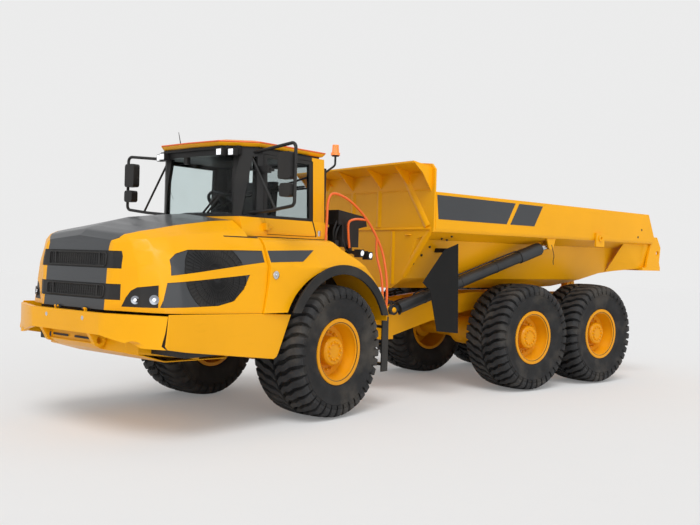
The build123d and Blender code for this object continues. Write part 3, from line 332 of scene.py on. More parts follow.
class Mesh:
    """Collects the faces of one piece."""

    def __init__(self):
        self.work = bmesh.new()
        # A value at each corner: 1 on the scrubbed faces of lugs, -1 in the tyre's grooves for painted
        # shade
        self.wear_and_groove_shade = self.work.verts.layers.float.new("wear_and_groove_shade")

    def face_loop(self, rings, closed=False):
        """Joins rings of the same number of points into a skin, capped unless the rings close."""
        rows = [[self.work.verts.new(point) for point in ring] for ring in rings]
        steps = len(rows) if closed else len(rows) - 1
        for index in range(steps):
            near, far = rows[index], rows[(index + 1) % len(rows)]
            for corner in range(len(near)):
                after = (corner + 1) % len(near)
                self.work.faces.new((near[corner], near[after], far[after], far[corner]))
        if not closed:
            self.work.faces.new(list(reversed(rows[0])))
            self.work.faces.new(rows[-1])
        return rows

    def box(self, low, high):
        (x0, y0, z0), (x1, y1, z1) = low, high
        lower = [(x0, y0, z0), (x1, y0, z0), (x1, y1, z0), (x0, y1, z0)]
        self.face_loop([lower, [(x, y, z1) for x, y, _ in lower]])
        return self

    def tube(self, path, radius, sides=8):
        """A round bar along a path, with one radius or one for each point."""
        points = [Vector(point) for point in path]
        widths = radius if isinstance(radius, (list, tuple)) else [radius] * len(points)
        across = None
        rings = []
        for index, point in enumerate(points):
            before = points[max(index - 1, 0)]
            after = points[min(index + 1, len(points) - 1)]
            ahead = (after - before).normalized()
            if across is None:
                across = ahead.orthogonal().normalized()
            across = (across - ahead * across.dot(ahead)).normalized()
            rings.append(circle(point, across, ahead.cross(across), widths[index], sides))
        self.face_loop(rings)
        return self

    def lathe(self, profile, centre, axis, steps=24, ring=False):
        """Turns a profile of (along, radius) points about an axis, into a ring if it closes on itself."""
        centre, axis = Vector(centre), Vector(axis).normalized()
        across = axis.orthogonal().normalized()
        other = axis.cross(across)
        self.face_loop([
            circle(centre + axis * along, across, other, max(radius, LEAST_RADIUS), steps)
            for along, radius in profile
        ], closed=ring)
        return self

    def mirror(self):
        """Repeats what is drawn so far on the truck's other side."""
        drawn = self.work.verts[:] + self.work.edges[:] + self.work.faces[:]
        for made in bmesh.ops.duplicate(self.work, geom=drawn)["geom"]:
            if isinstance(made, bmesh.types.BMVert):
                made.co.y = -made.co.y

    def mesh(self, name):
        bmesh.ops.recalc_face_normals(self.work, faces=self.work.faces)
        mesh = bpy.data.meshes.new(name)
        self.work.to_mesh(mesh)
        self.work.free()
        return mesh


def around(along, radius, turn):
    """A place about the y axis."""
    return (radius * math.sin(turn), along, radius * math.cos(turn))


def add_piece(name, mesh, material, body, replaces=(), angle=40.0):
    """Puts a finished mesh in the scene as a piece that rides on a body."""
    for face in mesh.polygons:
        face.use_smooth = True
    mesh.set_sharp_from_angle(angle=math.radians(angle))
    mesh.materials.clear()
    mesh.materials.append(material)
    piece = link_shape(name, mesh)
    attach(piece, body)
    if replaces:
        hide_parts(*replaces)


class Tree(Nodes):
    """A Geometry Nodes tree with named inputs."""

    def __init__(self, name):
        super().__init__(bpy.data.node_groups.new(name, "GeometryNodeTree"))
        for way in ("OUTPUT", "INPUT"):
            self.tree.interface.new_socket("Geometry", in_out=way, socket_type="NodeSocketGeometry")
        self.entry = self.tree.nodes.new("NodeGroupInput")
        self.exit = self.tree.nodes.new("NodeGroupOutput")

    def input(self, name, kind):
        made = self.tree.interface.new_socket(name, in_out="INPUT", socket_type="NodeSocket" + kind)
        return Value(self, self.entry.outputs[made.name])

    def spread(self, points, turn):
        """The input's shape at each point, as real faces."""
        shape = self.input("Shape", "Object")
        source = self.node("GeometryNodeObjectInfo", None, {"Object": shape}, output="Geometry")
        spread = self.node(
            "GeometryNodeInstanceOnPoints", None, {"Points": points, "Instance": source, "Rotation": turn}
        )
        return self.node("GeometryNodeRealizeInstances", None, {0: spread})

    def close(self, geometry):
        """Ends the tree with the input's material."""
        material = self.input("Material", "Material")
        made = self.node("GeometryNodeSetMaterial", None, {0: geometry, "Material": material})
        self.feed(self.exit.inputs[0], made)
        return self.tree


def ring_tree():
    """Adds a shape, repeated round the y axis, to the input."""
    tree = Tree("ring of like shapes")
    count = tree.input("Count", "Int")
    spots = tree.node("GeometryNodeMeshLine", None, {"Count": count, "Offset": (0.0, 0.0, 0.0)})
    step = count.sum("DIVIDE", 2 * math.pi, count)
    turn = tree.node("ShaderNodeCombineXYZ", None, {"Y": tree.node("GeometryNodeInputIndex") * step})
    joined = tree.node("GeometryNodeJoinGeometry", None, {0: tree.spread(spots, turn)})
    tree.tree.links.new(tree.entry.outputs[0], joined.socket.node.inputs[0])
    return tree.close(joined)


def spots_tree():
    """Puts a like shape on each vertex of the input, turned the way it faces."""
    tree = Tree("like shapes on spots")
    facing = tree.node(
        "GeometryNodeInputNamedAttribute", {"data_type": "FLOAT_VECTOR"}, {"Name": "facing"}
    )
    turn = tree.node("FunctionNodeAlignRotationToVector", {"axis": "Z"}, {"Vector": facing})
    return tree.close(tree.spread(Value(tree, tree.entry.outputs[0]), turn))


def link_shape(name, data):
    """An object that shows the data, linked into the scene."""
    shape = bpy.data.objects.new(name, data)
    bpy.context.scene.collection.objects.link(shape)
    return shape


def plain_mesh(helper):
    """The mesh that a helper's modifiers make, without the helper."""
    bpy.context.view_layer.update()
    graph = bpy.context.evaluated_depsgraph_get()
    mesh = bpy.data.meshes.new_from_object(helper.evaluated_get(graph), depsgraph=graph)
    helper.modifiers.clear()
    bpy.data.objects.remove(helper)
    return mesh


def evaluated_mesh(tree, values, base):
    """Runs a tree on a base mesh and returns the plain mesh it makes."""
    helper = link_shape("helper", base)
    modifier = helper.modifiers.new("tree", "NODES")
    modifier.node_group = tree
    for item in tree.interface.items_tree:
        if item.item_type == "SOCKET" and item.in_out == "INPUT" and item.name in values:
            modifier[item.identifier] = values[item.name]
    return plain_mesh(helper)


def frame_of(body):
    """The frame in which the pieces on a body are drawn: metres from the front axle, truck straight."""
    return FRONT_FRAME if body in FRONT_BODIES else REAR_FRAME


def fit_piece(name, shape, slot, body, finish=""):
    """Adds a piece drawn in its body's frame, in its slot's finish or a named one."""
    mesh = shape.mesh(name)
    mesh.transform(frame_of(body))
    add_piece(name, mesh, FINISHES[finish or slot], body)


def fit_both(name, shape, *settings):
    """Adds a piece drawn on the left, with its likeness on the right."""
    shape.mirror()
    fit_piece(name, shape, *settings)


def fit_wheels(label, made, slot, about, hide=False, angle=40.0):
    """Puts a copy of a mesh about each wheel's part: drawn about the y axis, its outside to the left."""
    for name in WHEELS:
        centre = box_middle(about + name)
        turn = 0.0 if name.startswith("front") else swing
        flip = math.pi if name.endswith("right") else 0.0
        mesh = made.copy()
        mesh.transform(
            Matrix.Translation((centre.x, centre.y, tyre_radius)) @ Matrix.Rotation(turn + flip, 4, "Z")
        )
        hidden = (about + name,) if hide else ()
        add_piece(label + name, mesh, FINISHES[slot], "wheel_" + name, hidden, angle)


def is_hollow(face):
    """Whether a face's outline turns back on itself."""
    return any(
        (corner.edge.other_vert(corner.vert).co - corner.vert.co).cross(
            corner.vert.co - corner.link_loop_prev.vert.co
        ).dot(face.normal) > 1e-6
        for corner in face.loops
    )


def dress(node, width):
    """Shows a merged copy of a solid part with softened edges and true flats in its place."""
    source = frame["nodes"][node]
    work = bmesh.new()
    work.from_mesh(source.data)
    bmesh.ops.remove_doubles(work, verts=work.verts, dist=MERGE_DISTANCE)
    bmesh.ops.dissolve_limit(work, angle_limit=FLAT_ANGLE, verts=work.verts, edges=work.edges)
    forked = [face for face in work.faces if len(face.verts) > 4 and is_hollow(face)]
    bmesh.ops.triangulate(work, faces=forked, quad_method="BEAUTY", ngon_method="BEAUTY")
    for face in work.faces:
        face.smooth = True
    mesh = bpy.data.meshes.new("skin_" + node)
    work.to_mesh(mesh)
    work.free()
    helper = link_shape("helper", mesh)
    soften = helper.modifiers.new("soften", "BEVEL")
    soften.limit_method = "ANGLE"
    soften.angle_limit = math.radians(30.0)
    soften.width = width
    soften.segments = 2
    soften.harden_normals = True
    helper.modifiers.new("flats", "WEIGHTED_NORMAL").keep_sharp = True
    made = plain_mesh(helper)
    made.name = "skin_" + node
    made.materials.clear()
    made.materials.append(finish_for(node))
    piece = link_shape("skin_" + node, made)
    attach(piece, source["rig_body"])
    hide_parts(node)


class Surface:
    """The faces of some solid parts, to lay pieces on."""

    def __init__(self, body, *nodes):
        self.matrix = frame_of(body)
        self.back = self.matrix.inverted()
        points, faces = [], []
        for node in nodes:
            data = frame["nodes"][node].data
            start = len(points)
            points.extend(vertex.co.copy() for vertex in data.vertices)
            faces.extend([start + index for index in face.vertices] for face in data.polygons)
        self.tree = BVHTree.FromPolygons(points, faces)

    def hit(self, origin, direction):
        """Where a ray meets the surface, and how far from its origin, or None."""
        turned = (self.matrix.to_3x3() @ Vector(direction)).normalized()
        place, _, _, distance = self.tree.ray_cast(self.matrix @ Vector(origin), turned)
        return None if place is None else (self.back @ place, distance)

    def place(self, origin, direction):
        """Where a ray meets the surface, which it has to."""
        found = self.hit(origin, direction)
        if found is None:
            raise RuntimeError("a piece misses the surface from " + str(tuple(origin)))
        return found[0]

    def left(self, x, z):
        """The place on the left side at (x, z)."""
        return self.place((x, OUTSIDE, z), RIGHT)

    def front(self, y, z, out=0.0):
        """The place on the front at (y, z), moved forwards."""
        return self.place((OUTSIDE, y, z), (-1, 0, 0)) + Vector((out, 0, 0))

    def patch(self, shape, corners, columns, rows=4):
        """Lays a thin plate on the left side: corners (x, z) from the top front round by the top rear."""
        top_front, top_rear, low_rear, low_front = [Vector(corner) for corner in corners]
        lift, sink = Vector((0, PLATE_LIFT, 0)), Vector((0, PLATE_SINK, 0))
        rings = []
        for column in range(columns + 1):
            top = top_front.lerp(top_rear, column / columns)
            low = low_front.lerp(low_rear, column / columns)
            spots = [self.left(*top.lerp(low, row / rows)) for row in range(rows + 1)]
            rings.append([spot + lift for spot in spots] + [spot - sink for spot in reversed(spots)])
        shape.face_loop(rings)


def spread_on_spots(spots, shape_mesh, material):
    """A mesh of like shapes on (place, facing) spots."""
    base = bpy.data.meshes.new("spots")
    base.from_pydata([place for place, _ in spots], [], [])
    facing = base.attributes.new("facing", "FLOAT_VECTOR", "POINT")
    for index, (_, direction) in enumerate(spots):
        facing.data[index].vector = direction
    shape = link_shape("like shape", shape_mesh)
    mesh = evaluated_mesh(spots_tree(), {"Shape": shape, "Material": material}, base)
    bpy.data.objects.remove(shape)
    return mesh


def bolt_mesh(radius, height):
    """A hexagon head on a washer, standing on z = 0."""
    bolt = Mesh()
    washer, chamfer = height * 0.3, height * 0.85
    bolt.lathe([(0.0, radius * 1.35), (washer, radius * 1.35)], (0, 0, 0), (0, 0, 1), 12)
    bolt.lathe([(washer, radius), (chamfer, radius), (height, radius * 0.8)], (0, 0, 0), (0, 0, 1), 6)
    return bolt.mesh("bolt")


# Settings


def colour_setting(name, description, value):
    return FloatVectorProperty(
        name=name, description=description, size=4, subtype="COLOR", default=(*value, 1.0), min=0.0, max=1.0
    )


def length_setting(name, description, value):
    return FloatProperty(name=name, description=description, default=value, unit="LENGTH")


def angle_setting(name, description, degrees):
    return FloatProperty(name=name, description=description, default=math.radians(degrees), subtype="ANGLE")


def level_setting(name, description, value):
    return FloatProperty(name=name, description=description, default=value, min=0.0)


def direction_setting(name, description, value):
    return FloatVectorProperty(name=name, description=description, size=3, default=value)


class TruckColours(bpy.types.PropertyGroup):
    """Colours of the truck's finishes."""

    body: colour_setting("Body paint", "Main paint", (0.86, 0.39, 0.002))
    rims: colour_setting("Rim paint", "Rims and hubs", (0.73, 0.3, 0.001))
    panel: colour_setting("Panels", "Hood top, bands and vent panels", (0.048, 0.051, 0.055))
    black: colour_setting("Black parts", "Frames, grilles and shields", (0.008, 0.008, 0.0085))
    accent: colour_setting("Handrails", "Handrails and roof edge", (0.8, 0.13, 0.012))
    rubber: colour_setting("Rubber", "Tyres, flaps and hoses", (0.01, 0.01, 0.0105))
    glass: colour_setting("Glass", "Tint of the cab glass", (0.8, 0.86, 0.86))


class TruckSizes(bpy.types.PropertyGroup):
    """Sizes of the tread and trim."""

    lug_pairs: IntProperty(
        name="Lug pairs", description="Pairs of tread lugs round one tyre", default=38, min=8, max=60
    )
    groove: length_setting("Tread depth", "Height of a lug over the casing", 0.052)
    lug_width: length_setting("Lug width", "Width of a lug across its run", 0.078)
    lug_sweep: angle_setting("Lug sweep", "Turn of a lug from its middle to its shoulder", 11.0)
    nut_circle: length_setting("Nut circle", "Radius of the ring of wheel nuts", 0.225)
    nut_count: IntProperty(name="Wheel nuts", description="Nuts on one wheel", default=20, min=4, max=40)
    bolt_radius: length_setting("Bolt size", "Radius of a trim bolt's head", 0.016)


class TruckStage(bpy.types.PropertyGroup):
    """Camera, lamps and floor."""

    camera: FloatVectorProperty(
        name="Camera", description="Camera's place from the front axle", size=3,
        default=(7.594, 7.702, 1.918), subtype="XYZ", unit="LENGTH",
    )
    heading: angle_setting("Heading", "Camera's heading from straight ahead", -141.01)
    tilt: angle_setting("Tilt", "Camera's tilt from level", -0.35)
    roll: angle_setting("Roll", "Camera's roll", 1.55)
    lens: FloatProperty(name="Lens", description="Focal length in millimetres", default=42.73, min=10.0)
    floor: level_setting("Floor", "Grey level of floor and backdrop", 0.835)
    floor_glow: level_setting("Floor glow", "Share of the floor that shows as backdrop", 0.18)
    sun: level_setting("Sun", "Strength of the soft sun", 1.45)
    softness: angle_setting("Softness", "Width of the sun in the sky", 28.0)
    sun_from: direction_setting("Sun from", "Direction towards the sun", (0.52, 0.4, 1.0))
    fill: level_setting("Fill", "Strength of the low fill", 1.42)
    fill_softness: angle_setting("Fill softness", "Width of the low fill", 75.0)
    fill_from: direction_setting("Fill from", "Direction towards the fill", (0.62, 0.78, 0.16))
    sky: level_setting("Surround", "Strength of the even light", 0.5)


def sizes():
    return bpy.context.scene.truck_sizes


FINISHES = {}
SLOTS = {part["node"]: part["material_slot"] for part in frame["record"]["subparts"]}
SPECIAL = {"door_glass": "door_glass", "wheel_shields": "shield_black"}


def finish_for(node):
    """The finish of a solid part: its slot's own, or a special one."""
    return FINISHES[SPECIAL.get(node, SLOTS[node])]


# Pieces


class TRUCK_OT_stage(bpy.types.Operator):
    """Floor, surround, lamps and camera"""

    bl_idname = "truck.stage"
    bl_label = "Studio"

    def execute(self, context):
        scene = context.scene
        look = scene.truck_stage
        scene.view_settings.view_transform = "Standard"
        grey = (look.floor, look.floor, look.floor, 1.0)
        self.lay_floor(look, grey)
        self.surround(scene, look, grey)
        for name, power, softness, towards in (
            ("soft sun", look.sun, look.softness, look.sun_from),
            ("low fill", look.fill, look.fill_softness, look.fill_from),
        ):
            lamp = bpy.data.lights.new(name, "SUN")
            lamp.energy = power
            lamp.angle = softness
            holder = link_shape(name, lamp)
            holder.rotation_euler = Vector(towards).to_track_quat("Z", "Y").to_euler()
        self.place_camera(scene, look)
        return {"FINISHED"}

    def lay_floor(self, look, grey):
        """A matt floor that fades into the backdrop."""
        ground = Finish("studio floor")
        ground.surface(
            base_color=ground.toned(ground.noise(3.0, 2.0), grey, 0.99, 1.0),
            roughness=0.9,
            specular_ior_level=0.0,
        )
        watched = ground.node("ShaderNodeLightPath", output="Is Camera Ray") * look.floor_glow
        glow = ground.node("ShaderNodeEmission", None, {"Color": grey, "Strength": 1.0})
        lit = Value(ground, ground.shader.outputs["BSDF"])
        ground.feed(
            ground.tree.nodes["Material Output"].inputs["Surface"],
            ground.node("ShaderNodeMixShader", None, {0: watched, 1: lit, 2: glow}),
        )
        mesh = bpy.data.meshes.new("floor")
        signs = ((-1, -1), (1, -1), (1, 1), (-1, 1))
        mesh.from_pydata([(x * FLOOR_REACH, y * FLOOR_REACH, 0) for x, y in signs], [], [(0, 1, 2, 3)])
        mesh.materials.append(ground.material)
        link_shape("floor", mesh)

    def surround(self, scene, look, grey):
        """Even light from all round, seen and mirrored as the backdrop's grey."""
        world = scene.world or bpy.data.worlds.new("surround")
        scene.world = world
        world.use_nodes = True
        nodes = Nodes(world.node_tree)
        path = nodes.node("ShaderNodeLightPath", output="Is Camera Ray")
        seen = path.sum("MAXIMUM", path, path.other("Is Glossy Ray"))
        seen = path.sum("MAXIMUM", seen, path.other("Is Transmission Ray"))
        even = nodes.node("ShaderNodeBackground", None, {"Color": WHITE, "Strength": look.sky})
        backdrop = nodes.node("ShaderNodeBackground", None, {"Color": grey, "Strength": 1.0})
        both = nodes.node("ShaderNodeMixShader", None, {0: seen, 1: even, 2: backdrop})
        nodes.feed(nodes.tree.nodes["World Output"].inputs["Surface"], both)

    def place_camera(self, scene, look):
        """The photo's view."""
        ahead = Vector((
            math.cos(look.tilt) * math.cos(look.heading),
            math.cos(look.tilt) * math.sin(look.heading),
            math.sin(look.tilt),
        ))
        side = ahead.cross(Vector((0, 0, 1))).normalized()
        up = side.cross(ahead)
        right = side * math.cos(look.roll) + up * math.sin(look.roll)
        top = up * math.cos(look.roll) - side * math.sin(look.roll)
        view = bpy.data.cameras.new("camera")
        view.lens = look.lens
        view.sensor_width = SENSOR_WIDTH
        camera = link_shape("camera", view)
        turned = Matrix((right, top, -ahead)).transposed().to_4x4()
        camera.matrix_world = Matrix.Translation(axle_origin + Vector(look.camera)) @ turned
        scene.camera = camera


class TRUCK_OT_finishes(bpy.types.Operator):
    """Paint, plastic, rubber and glass on the solid parts"""

    bl_idname = "truck.finishes"
    bl_label = "Finishes"

    def execute(self, context):
        tint = context.scene.truck_colours
        FINISHES.update({
            "yellow_paint": paint("body yellow", tint.body),
            "rim_paint": paint("rim yellow", tint.rims, roughness=0.38, dust=0.08, dust_top=1.4),
            "frame_paint": paint("frame yellow", tint.body, roughness=0.42, dust=0.08, dust_top=1.4),
            "grey_paint": paint("panel grey", tint.panel, roughness=0.34, coat=0.25, dust=0.1),
            "orange_paint": paint("handrail orange", tint.accent, roughness=0.3, coat=0.6),
            "black_paint": satin("frame black", tint.black, 0.42, dust=0.1),
            "shield_black": satin("shield black", shade(tint.black, 0.25), 0.7, dust=0.01),
            "black_plastic": satin("black plastic", shade(tint.black, 1.5), 0.48, 320.0),
            "cab_trim": satin("cab trim", (0.035, 0.035, 0.037), 0.6, 380.0, dust=0.03),
            "rubber": satin("moulded rubber", tint.rubber, 0.6, 140.0, 0.001, dust=0.2),
            "cylinder_paint": satin(
                "cylinder grey", shade(tint.panel, 0.8), 0.36, 180.0, dust=0.08, metal=0.3
            ),
            "tyre": rubber("tyre rubber", tint.rubber),
            "rod_chrome": bare_metal("rod chrome", (0.62, 0.63, 0.64), 0.12),
            "lamp_bowl": bare_metal("lamp bowl", (0.34, 0.36, 0.4), 0.16),
            "mirror": bare_metal("mirror glass", (0.8, 0.82, 0.84), 0.02),
            "glass": clear_glass("cab glass", tint.glass),
            "door_glass": clear_glass("door glass", shade(tint.glass, 0.62)),
            "beacon_lens": lens("beacon orange", (0.95, 0.22, 0.02, 1.0), 0.004, 0.4),
            "lamp_lens": lens("lamp lens", (0.86, 0.88, 0.9, 1.0), 0.006, 0.55),
            "tail_lens": lens("tail lens", (0.55, 0.02, 0.015, 1.0), 0.006, 0.1),
        })
        for node in SLOTS:
            data = frame["nodes"][node].data
            data.materials.clear()
            data.materials.append(finish_for(node))
        return {"FINISHED"}


# One side of the casing, from its bead to the edge of the tread: (along the axle, radius)
CASING = (
    (0.3, 0.385), (0.318, 0.41), (0.33, 0.44), (0.336, 0.48), (0.341, 0.5), (0.341, 0.506),
    (0.346, 0.56), (0.35, 0.612), (0.354, 0.618), (0.354, 0.626), (0.349, 0.634), (0.343, 0.665),
    (0.33, 0.7),
)
BORE = ((0.285, 0.374), (0.0, 0.374), (-0.285, 0.374))
# Stations of a lug: (along the axle, share of the sweep done, share of the width, drop from the crown)
LUG_STATIONS = (
    (0.012, 0.0, 1.0, 0.0), (0.075, 0.38, 1.0, 0.0), (0.15, 0.46, 1.04, 0.002),
    (0.235, 0.84, 1.1, 0.008), (0.305, 0.97, 1.14, 0.018), (0.345, 1.0, 1.12, 0.044),
    (half_width, 1.01, 1.02, 0.082), (half_width - 0.004, 1.01, 0.92, 0.112),
    (half_width - 0.02, 1.01, 0.8, 0.128),
)
# Steps round the casing, rise of the crown, sink of a lug's foot and a lug's least depth
CASING_STEPS = 72
CROWN = 0.004
FOOT_SINK = 0.004
LEAST_LUG = 0.03


class TRUCK_OT_tyres(bpy.types.Operator):
    """Six tyres with swept lugs on both shoulders"""

    bl_idname = "truck.tyres"
    bl_label = "Tyres"

    def execute(self, context):
        size = sizes()
        floor_radius = tyre_radius - size.groove
        side = list(CASING) + [(0.3, floor_radius - 0.006), (0.2, floor_radius + 0.001)]
        section = [(-along, radius) for along, radius in side] + [(0.0, floor_radius + CROWN)]
        section += list(reversed(side)) + list(BORE)
        body = Mesh()
        rings = [
            [around(along, radius, 2 * math.pi * step / CASING_STEPS) for along, radius in section]
            for step in range(CASING_STEPS)
        ]
        for row in body.face_loop(rings, closed=True):
            for corner in row:
                # Corners of the tread floor between the lugs are marked for painted shade in the grooves
                if corner.co.xz.length > floor_radius - 0.02:
                    corner[body.wear_and_groove_shade] = -1.0

        lug = Mesh()
        for way, offset in ((1.0, 0.0), (-1.0, math.pi / size.lug_pairs)):
            rings = []
            for along, sweep, wide, drop in LUG_STATIONS:
                face = tyre_radius - CROWN * (along / half_width) ** 2 - drop
                foot = min(face - LEAST_LUG, floor_radius - drop * 0.9 - FOOT_SINK)
                middle = offset + size.lug_sweep * (1.0 - sweep)
                spread = size.lug_width * wide / 2
                rings.append([
                    around(way * along, radius, middle + share * spread / radius)
                    for radius, share in ((face, -0.88), (face, 0.88), (foot, 1.12), (foot, -1.12))
                ])
            for row in lug.face_loop(rings):
                for corner in row[:2]:
                    corner[lug.wear_and_groove_shade] = 1.0
        shape = link_shape("lug pair", lug.mesh("lug pair"))
        made = evaluated_mesh(
            ring_tree(),
            {"Shape": shape, "Count": size.lug_pairs, "Material": FINISHES["tyre"]},
            body.mesh("casing"),
        )
        bpy.data.objects.remove(shape)
        fit_wheels("tread_", made, "tyre", "tyre_", True, 32.0)
        return {"FINISHED"}


# Nuts: half across corners, height, place out from the rim's middle; hub bolts: circle, count, place
NUT_RADIUS, NUT_HEIGHT, NUTS_OUT = 0.015, 0.022, 0.126
HUB_BOLTS = (0.105, 12, 0.249)
# Sections of the lock ring in the rim's lip and of the seam round it: (along the axle, radius)
LOCK_RING = (
    (0.288, 0.349), (0.29, 0.334), (0.297, 0.33), (0.305, 0.333), (0.309, 0.341), (0.31, 0.352)
)
SEAM = ((0.312, 0.354), (0.312, 0.345), (0.318, 0.345), (0.318, 0.354))


class TRUCK_OT_wheel_nuts(bpy.types.Operator):
    """Nuts, hub bolts and lock ring on each wheel"""

    bl_idname = "truck.wheel_nuts"
    bl_label = "Wheel nuts"

    def execute(self, context):
        size = sizes()
        spots = [
            (around(out, radius, 2 * math.pi * step / count), LEFT)
            for radius, count, out in ((size.nut_circle, size.nut_count, NUTS_OUT), HUB_BOLTS)
            for step in range(count)
        ]
        nuts = spread_on_spots(spots, bolt_mesh(NUT_RADIUS, NUT_HEIGHT), FINISHES["rim_paint"])
        fit_wheels("nuts_", nuts, "rim_paint", "rim_")
        for label, section, slot in (
            ("lock_ring_", LOCK_RING, "rim_paint"), ("seam_", SEAM, "black_plastic")
        ):
            ring = Mesh().lathe(section, (0, 0, 0), LEFT, 64, ring=True)
            fit_wheels(label, ring.mesh(label), slot, "rim_")
        return {"FINISHED"}


# Width of the softened edge, and the parts that have it
SKINS = (
    (0.01, ("bumper", "side_skirts", "fenders", "hood_shell", "hood_top")),
    (0.01, ("cab_roof", "cab_shell", "headboard")),
    (0.006, ("skid_pan", "cab_door", "cab_frame", "door_frame", "dump_tub", "tail_brackets", "roof_trim")),
    (0.006, ("front_frame", "rear_frame", "hitch_yoke", "bogie_beams")),
    (0.004, ("deck_gear", "fender_lips", "wheel_shields", "cab_interior", "side_tanks", "work_lamps")),
    (0.004, ("hoist_barrel_left", "hoist_barrel_right", *("rim_" + name for name in WHEELS))),
    (0.003, ("hood_vents", "grilles", "steps", "body_mounts")),
)
# Faces of the cab that look towards its middle, above the sill, are trim
CAB_MIDDLE = (0.35, 0.0, 2.5)
CAB_SILL = 1.7


class TRUCK_OT_skins(bpy.types.Operator):
    """Softened edges on the painted parts"""

    bl_idname = "truck.skins"
    bl_label = "Skins"

    def execute(self, context):
        for width, nodes in SKINS:
            for node in nodes:
                dress(node, width)
        middle = axle_origin + Vector(CAB_MIDDLE)
        for node in ("cab_shell", "cab_door"):
            lined = bpy.data.objects["skin_" + node].data
            lined.materials.append(FINISHES["cab_trim"])
            for face in lined.polygons:
                if face.center.z > CAB_SILL and face.normal.dot(middle - face.center) > 0.02:
                    face.material_index = 1
        return {"FINISHED"}


# Blank bands: corners (x, z) from the top front round by the top rear
LONG_BAND = ((-2.09, 2.785), (-3.66, 2.765), (-3.48, 2.455), (-2.125, 2.462))
SHORT_BAND = ((-3.745, 2.764), (-4.275, 2.757), (-4.09, 2.452), (-3.56, 2.455))
FENDER_BAND = ((1.036, 1.968), (0.362, 1.99), (0.586, 1.856), (1.036, 1.84))


class TRUCK_OT_bands(bpy.types.Operator):
    """Blank grey bands on the fenders and the load body"""

    bl_idname = "truck.bands"
    bl_label = "Bands"

    def execute(self, context):
        sides = Surface("dump_body", "dump_tub")
        bands = Mesh()
        sides.patch(bands, LONG_BAND, 20)
        sides.patch(bands, SHORT_BAND, 8)
        fit_both("body_bands", bands, "grey_paint", "dump_body")
        fender_bands = Mesh()
        Surface("front_unit", "fenders", "cab_shell").patch(fender_bands, FENDER_BAND, 16)
        fit_both("fender_bands", fender_bands, "grey_paint", "front_unit")
        return {"FINISHED"}


# Round guards: middle (x, z), inner and outer radius, rings, spokes, half width and height of a bar
GUARD_MIDDLE = (1.78, 1.68)
GUARD_HUB, GUARD_REACH = 0.06, 0.388
GUARD_RINGS = (GUARD_HUB, 0.14, 0.22, 0.3, GUARD_REACH - 0.003)
GUARD_SPOKES = 56
GUARD_BAR = (0.0025, 0.007)


class TRUCK_OT_guards(bpy.types.Operator):
    """Radial guards in the hood's round openings"""

    bl_idname = "truck.guards"
    bl_label = "Hood guards"

    def execute(self, context):
        grille = Surface("hood", "grilles")
        cover = Surface("hood", "hood_shell", "hood_vents")
        guard = Mesh()

        def spot(radius, turn):
            """A place on the grille, or None where the hood covers it."""
            x, z = GUARD_MIDDLE
            origin = (x + radius * math.cos(turn), OUTSIDE, z + radius * math.sin(turn))
            found, hidden = grille.hit(origin, RIGHT), cover.hit(origin, RIGHT)
            if found is None or (hidden is not None and hidden[1] < found[1] - 0.0005):
                return None
            return found[0]

        lines = [
            [(GUARD_HUB + (GUARD_REACH - GUARD_HUB) * step / 8, 2 * math.pi * spoke / GUARD_SPOKES)
             for step in range(9)]
            for spoke in range(GUARD_SPOKES)
        ] + [
            [(radius, 2 * math.pi * step / 64) for step in range(65)] for radius in GUARD_RINGS
        ]
        half, height = GUARD_BAR
        out = Vector(LEFT)
        for line in lines:
            places = [spot(*at) for at in line]
            for start, end in zip(places, places[1:]):
                if start is None or end is None:
                    continue
                wide = (end - start).cross(out).normalized() * half
                section = [wide, -wide, out * height - wide, out * height + wide]
                guard.face_loop([[place + offset for offset in section] for place in (start, end)])
        fit_both("hood_guards", guard, "black_plastic", "hood")
        return {"FINISHED"}


# Lamps in the cab's brow (x, y; heights), on the deck (x, y, z) and in the hood's corners (x, z, radius)
BROW_LAMPS = ((1.095, 0.646), (1.157, 0.513))
BROW_LOW, BROW_HIGH = 3.054, 3.122
DECK_LAMPS = ((-0.64, 1.2275, 1.975), (-0.755, 1.2725, 1.948))
HEADLAMPS = ((2.462, 1.448, 0.046), (2.665, 1.44, 0.04))
# The way the lamps look, and a bowl's section: (along, share of the radius)
DECK_LAMP_RADIUS, DECK_LAMP_AHEAD = 0.036, (0.0, 1.0, -0.1)
HEADLAMP_VIEW, HEADLAMP_AHEAD, HEADLAMP_SIDE = (0.52, 0.854, 0.0), (0.8, 0.6, 0.0), 1.1
HEADLAMP_BOWL = ((0.0, 1.0), (0.01, 1.05), (0.01, 0.92), (0.003, 0.5), (0.002, 0))


